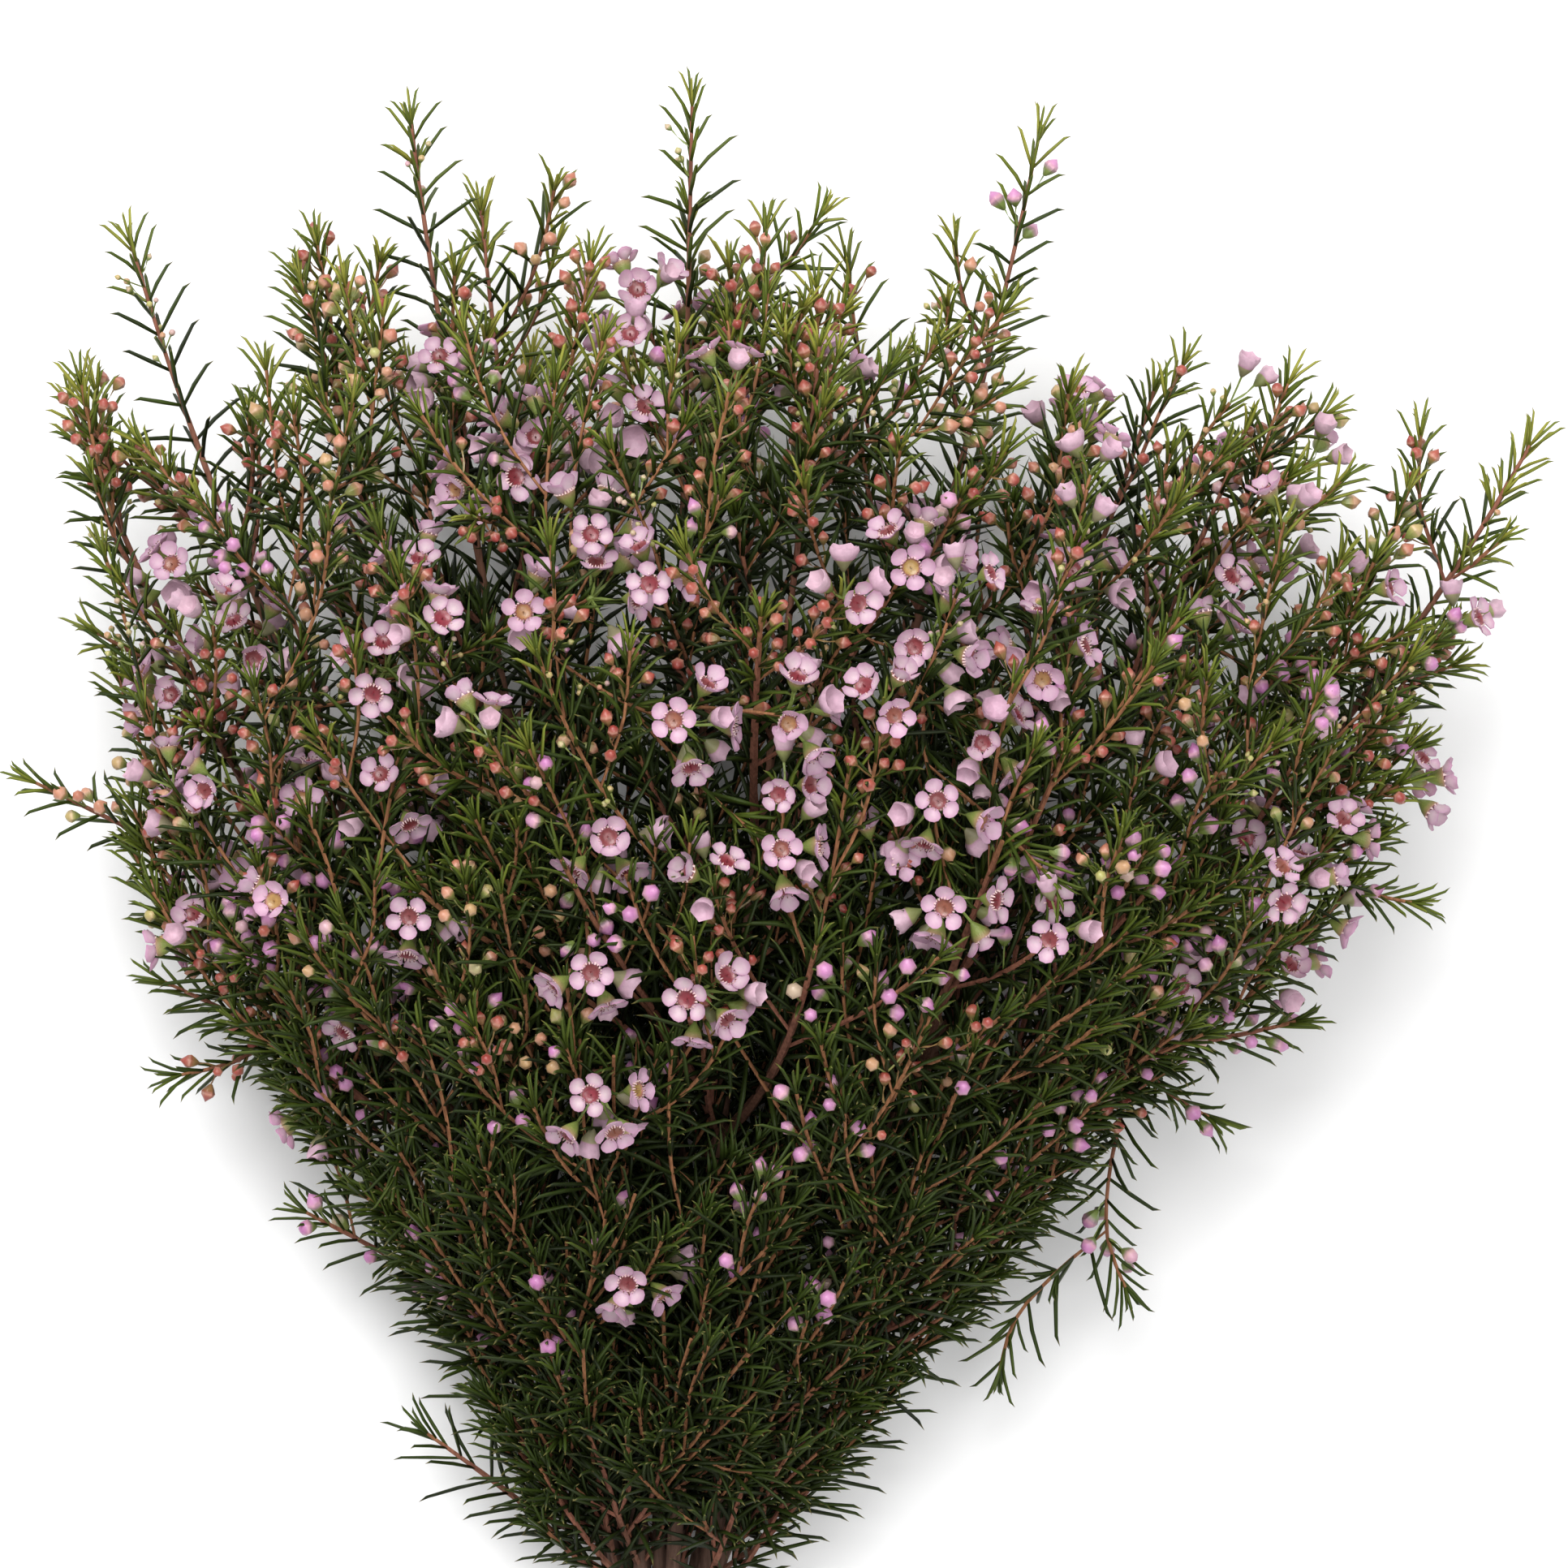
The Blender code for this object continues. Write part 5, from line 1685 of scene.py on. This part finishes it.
    def add_crown(self, stem, line, draw):
        """The last leaves of a shoot, close round its tip."""
        point, direction, _ = line.place(line.length)
        across = sideways(direction)
        for place in range(CROWN_NEEDLES):
            side = turned(across, direction, place * 2.4 + draw.uniform(-0.3, 0.3))
            way = leaning(direction, side, math.radians(draw.uniform(5, 22)))
            length = NEEDLE_LENGTH * draw.uniform(0.40, 0.72)
            shade = min(1.0, 0.72 + draw.uniform(-0.15, 0.25))
            self.add_needle(stem, point - direction * 0.6 * MM, way, -direction, length, 0.72, shade, draw)

    def add_buds(self, stem, axil, direction, side, colour, kind_size, draw):
        """One to three buds on stalks from an axil."""
        for place in range(draw.choice((1, 1, 2, 2, 3))):
            spread = math.radians(draw.uniform(22, 58))
            lean = turned(side, direction, draw.uniform(-0.7, 0.7) + 0.5 * (place - 0.5))
            way = leaning(direction, lean, spread)
            length = BUD_STALK * draw.uniform(0.65, 1.35)
            size = kind_size * draw.uniform(0.85, 1.15)
            foot = axil + way * length
            middle = foot + way * 2.4 * MM * size
            if outside_room(middle - UP * 2.0 * MM) or outside_room(middle):
                continue
            if self.faces.hidden_by([middle], *BUD_CLEAR):
                continue
            gaps = np.linalg.norm(self.bud_places - np.array(middle), axis=1)
            if gaps.min(initial=1.0) < BUD_SPACING * size:
                continue
            self.bud_places = np.vstack([self.bud_places, np.array(middle)])
            shade = min(1.0, max(0.0, draw.gauss(colour, 0.07)))
            self.tips[stem].add(self.stalk, placed(axil, way, side, 1.0, length / MM), shade)
            bud_place = placed(foot, way, side, size, size * draw.uniform(0.92, 1.1))
            self.tips[stem].add(draw.choice(self.buds), bud_place, shade)

    def flowers_at_tip(self, number, stem, line, draw):
        """A few flowers on the end of some added shoots, clear of all others. It returns how many."""
        end = line.points[-1]
        lucky = draw.random() < BLOOM_SHARE
        fit = number >= self.first_added and end[1] > BLOOMS_FROM and how_far_out(end) > BLOOMS_OUT
        if not (lucky and fit):
            return 0
        point, direction, _ = line.place(line.length)
        lead = (direction + outward(point) * 0.9).normalized()
        made = 0
        for _ in range(BLOOM_TRIES):
            tilt = math.radians(draw.uniform(10, 62))
            axis = tilted(lead, tilt, draw_turn(draw))
            middle = point + axis * draw.uniform(9.5, 14.5) * MM
            if min((middle - other).length for other in self.bloom_places) < BLOOM_SPACING:
                continue
            if outside_room(middle + axis * 3 * MM - UP * 7.0 * MM) or middle.y > BLOOMS_TO:
                continue
            self.bloom_places.append(middle)
            size = draw.uniform(0.88, 1.02)
            is_open = draw.random() < OPEN_SHARE
            form = draw.choice(self.open_forms if is_open else self.half_open)
            side = turned(sideways(axis), axis, draw_turn(draw))
            shade = draw.random() * (1.0 if is_open else 0.6)
            self.tips[stem].add(form, placed(middle, axis, side, size), shade)
            if is_open:
                self.tips[stem].add(self.cup, placed(middle, axis, side, size), 0.5)
            stalk_end = middle - axis * FOLDED_STALK_UP_TO * size
            self.tips[stem].add(self.stalk, stretched(point, stalk_end, side, 1.3), 0.8)
            made += 1
            if made == MOST_BLOOMS:
                break
        return made


def bud_kind(line, draw):
    """The kind of buds on a shoot, and between which distances from its tip they sit."""
    tip = line.points[-1]
    _, y, z = tip
    luck = draw.random()
    zone = (draw.uniform(0.5, 1.2) * BUD_ZONE[0], draw.uniform(0.55, 1.15) * BUD_ZONE[1])
    kinds = next(kinds for limit, kinds in BUD_KINDS if y < limit)
    kind = next(kind for share, kind in kinds if luck < share)
    underneath = z < heights_at(y)[0] * 0.8
    if how_far_out(tip) < BUDS_OUT or (underneath and luck > 0.5):
        kind = NO_BUDS
    return kind, zone


def build_stems(bunch, finishes, first_added):
    """Every stem in three pieces: its bark with that of its side shoots, its leaves and its buds."""
    dressing = Dressing(bunch, first_added)
    barks = [bmesh.new() for _ in range(STEMS)]
    tones = [bark.verts.layers.float.new("tone") for bark in barks]
    for number, shoot in enumerate(bunch.shoots):
        line = Line(shoot, STEM_STEP if number < STEMS else SHOOT_STEP)
        grow_bark(barks[shoot.stem], tones[shoot.stem], shoot, number, line)
        dressing.dress(number, shoot, line)
    wood = [finishes["bark"], finishes["cut_wood"]]
    tip_finishes = [finishes[item] for item in TIP_FINISHES]
    for stem in range(STEMS):
        name = f"leafy_stem_{stem + 1:02d}"
        leaves = dressing.leaves[stem].mesh(f"{name}_leaves")
        add_piece(f"{name}_bark", mesh_from(name, barks[stem]), wood, name)
        add_piece(f"{name}_leaves", leaves, [finishes["leaf"]], name, sharp=0.0)
        if dressing.tips[stem].places:
            buds = dressing.tips[stem].mesh(f"{name}_buds")
            add_piece(f"{name}_buds", buds, tip_finishes, name)


def build_flowers(bunch, finishes):
    """Every cluster in two pieces: its petals with discs and stamens, and its cups with stalks."""
    forms = [flower_shape(number, lift * MM) for number, lift in enumerate(LIFTS)]
    half_open = [half_open_shape(number) for number in range(HALF_OPEN_FORMS)]
    cup = cup_shape()
    stalk = stalk_shape(0.46 * MM, 0.7 * MM, 4)
    knob = knob_shape()
    flower_finishes = [finishes[item] for item in FLOWER_FINISHES]
    for number, (point, direction), flowers in bunch.clusters:
        draw = random.Random(f"{SEED} colours {number}")
        petals, cups = Copies(), Copies()
        cups.add(knob, placed(point - direction * 0.4 * MM, direction, sideways(direction)), 0.3)
        for base, middle, axis, roll in flowers:
            side = turned(sideways(axis), axis, roll)
            weights = LIFT_WEIGHTS_LOW if middle.y < LIFTED_FROM else LIFT_WEIGHTS_HIGH
            form = draw.choices(forms, weights)[0]
            size = draw.uniform(0.92, 1.03)
            petals.add(form, placed(middle, axis, side, size), draw.random())
            cups.add(cup, placed(middle, axis, side, size), draw.random())
            cups.add(stalk, stretched(base, middle - axis * STALK_UP_TO * size, side), 0.5)
        for base, middle, axis in folded_flowers(flowers, direction, draw):
            side = sideways(axis)
            size = draw.uniform(0.85, 1.1)
            petals.add(draw.choice(half_open), placed(middle, axis, side, size), draw.uniform(0.0, 0.6))
            cups.add(stalk, stretched(base, middle - axis * FOLDED_STALK_UP_TO * size, side), 0.5)
        name = f"flower_cluster_{number + 1:02d}"
        add_piece(f"{name}_petals", petals.mesh(f"{name}_petals"), flower_finishes, name)
        add_piece(f"{name}_cups", cups.mesh(f"{name}_cups"), [finishes["cup"]], name)


def folded_flowers(flowers, direction, draw):
    """Half-open flowers between and behind a cluster's open ones, each clear of the others."""
    made = []
    taken = [flower[1] for flower in flowers]
    base = flowers[0][0]
    for _ in range(FOLDED_TRIES):
        tilt = math.radians(draw.uniform(20, 80))
        axis = tilted(direction, tilt, draw_turn(draw))
        middle = base + axis * draw.uniform(10.5, 19.0) * MM
        nearest = min((middle - other).length for other in taken)
        if nearest < FOLDED_SPACING or outside_room(middle - UP * 5.0 * MM):
            continue
        taken.append(middle)
        made.append((base, middle, axis))
        if len(made) == MOST_FOLDED:
            break
    return made


def build_band(finishes):
    """The rubber band: three flat turns side by side with rounded edges."""
    bm = bmesh.new()
    middle = (BAND_INSIDE + BAND_APOTHEM) / 2
    half = (BAND_APOTHEM - BAND_INSIDE) / 2
    for strand in range(BAND_STRANDS):
        at = (strand - (BAND_STRANDS - 1) / 2) * (BAND_STRAND + BAND_GROOVE)
        corners = []
        for step in range(BAND_EDGES):
            angle = math.tau * step / BAND_EDGES
            across, out = math.cos(angle), math.sin(angle)
            across = math.copysign(abs(across) ** 0.5, across) * BAND_STRAND / 2
            out = math.copysign(abs(out) ** 0.5, out) * half * 0.97
            corners.append(bm.verts.new((middle + out, 0.0, at + across)))
        edges = [bm.edges.new(pair) for pair in zip(corners, corners[1:] + corners[:1])]
        spin_round(bm, corners, edges, BAND_STEPS)
    for vert in bm.verts:
        turn = math.atan2(vert.co.y, vert.co.x)
        vert.co.z += 0.35 * MM * math.sin(turn) + 0.12 * MM * math.sin(5 * turn + vert.co.z * 900)
    lie = Matrix.Translation(BUNDLE_MIDDLE) @ Matrix.Rotation(math.pi / 2, 4, "X")
    bmesh.ops.transform(bm, matrix=lie, verts=bm.verts)
    bmesh.ops.recalc_face_normals(bm, faces=bm.faces)
    mesh = mesh_from("rubber_band", bm)
    add_piece("rubber_band_turns", mesh, [finishes["rubber"]], "rubber_band")


# The studio


def build_studio(finishes):
    bm = bmesh.new()
    bmesh.ops.create_grid(bm, x_segments=1, y_segments=1, size=FLOOR_HALF)
    floor = bpy.data.objects.new("floor", mesh_from("floor", bm))
    floor.data.materials.append(finishes["floor"])
    bpy.context.scene.collection.objects.link(floor)
    add_light(*KEY_SOFTBOX)
    add_light(*FILL_SOFTBOX)
    world = bpy.data.worlds.new("studio")
    world.use_nodes = True
    world.node_tree.nodes["Background"].inputs["Color"].default_value = (1.0, 1.0, 1.0, 1.0)
    world.node_tree.nodes["Background"].inputs["Strength"].default_value = SKY_STRENGTH
    bpy.context.scene.world = world
    bpy.context.scene.view_settings.view_transform = "Standard"
    lens = bpy.data.cameras.new("camera")
    lens.lens = lens.sensor_width * VIEW_DISTANCE / VIEW_WIDTH
    lens.clip_start, lens.clip_end = 0.05, 20.0
    camera = bpy.data.objects.new("camera", lens)
    camera.location = VIEW_MIDDLE + UP * VIEW_DISTANCE
    bpy.context.scene.collection.objects.link(camera)
    bpy.context.scene.camera = camera


def add_light(name, place, power):
    data = bpy.data.lights.new(name, "AREA")
    data.shape = "DISK"
    data.size = SOFTBOX_SIZE
    data.energy = power
    light = bpy.data.objects.new(name, data)
    light.location = place
    light.rotation_euler = (VIEW_MIDDLE - light.location).to_track_quat("-Z", "Y").to_euler()
    bpy.context.scene.collection.objects.link(light)


def main():
    finishes = make_finishes()
    bunch = Bunch().grow()
    first_added = len(bunch.shoots)
    bunch.thicken()
    build_stems(bunch, finishes, first_added)
    build_flowers(bunch, finishes)
    build_band(finishes)
    build_studio(finishes)


main()
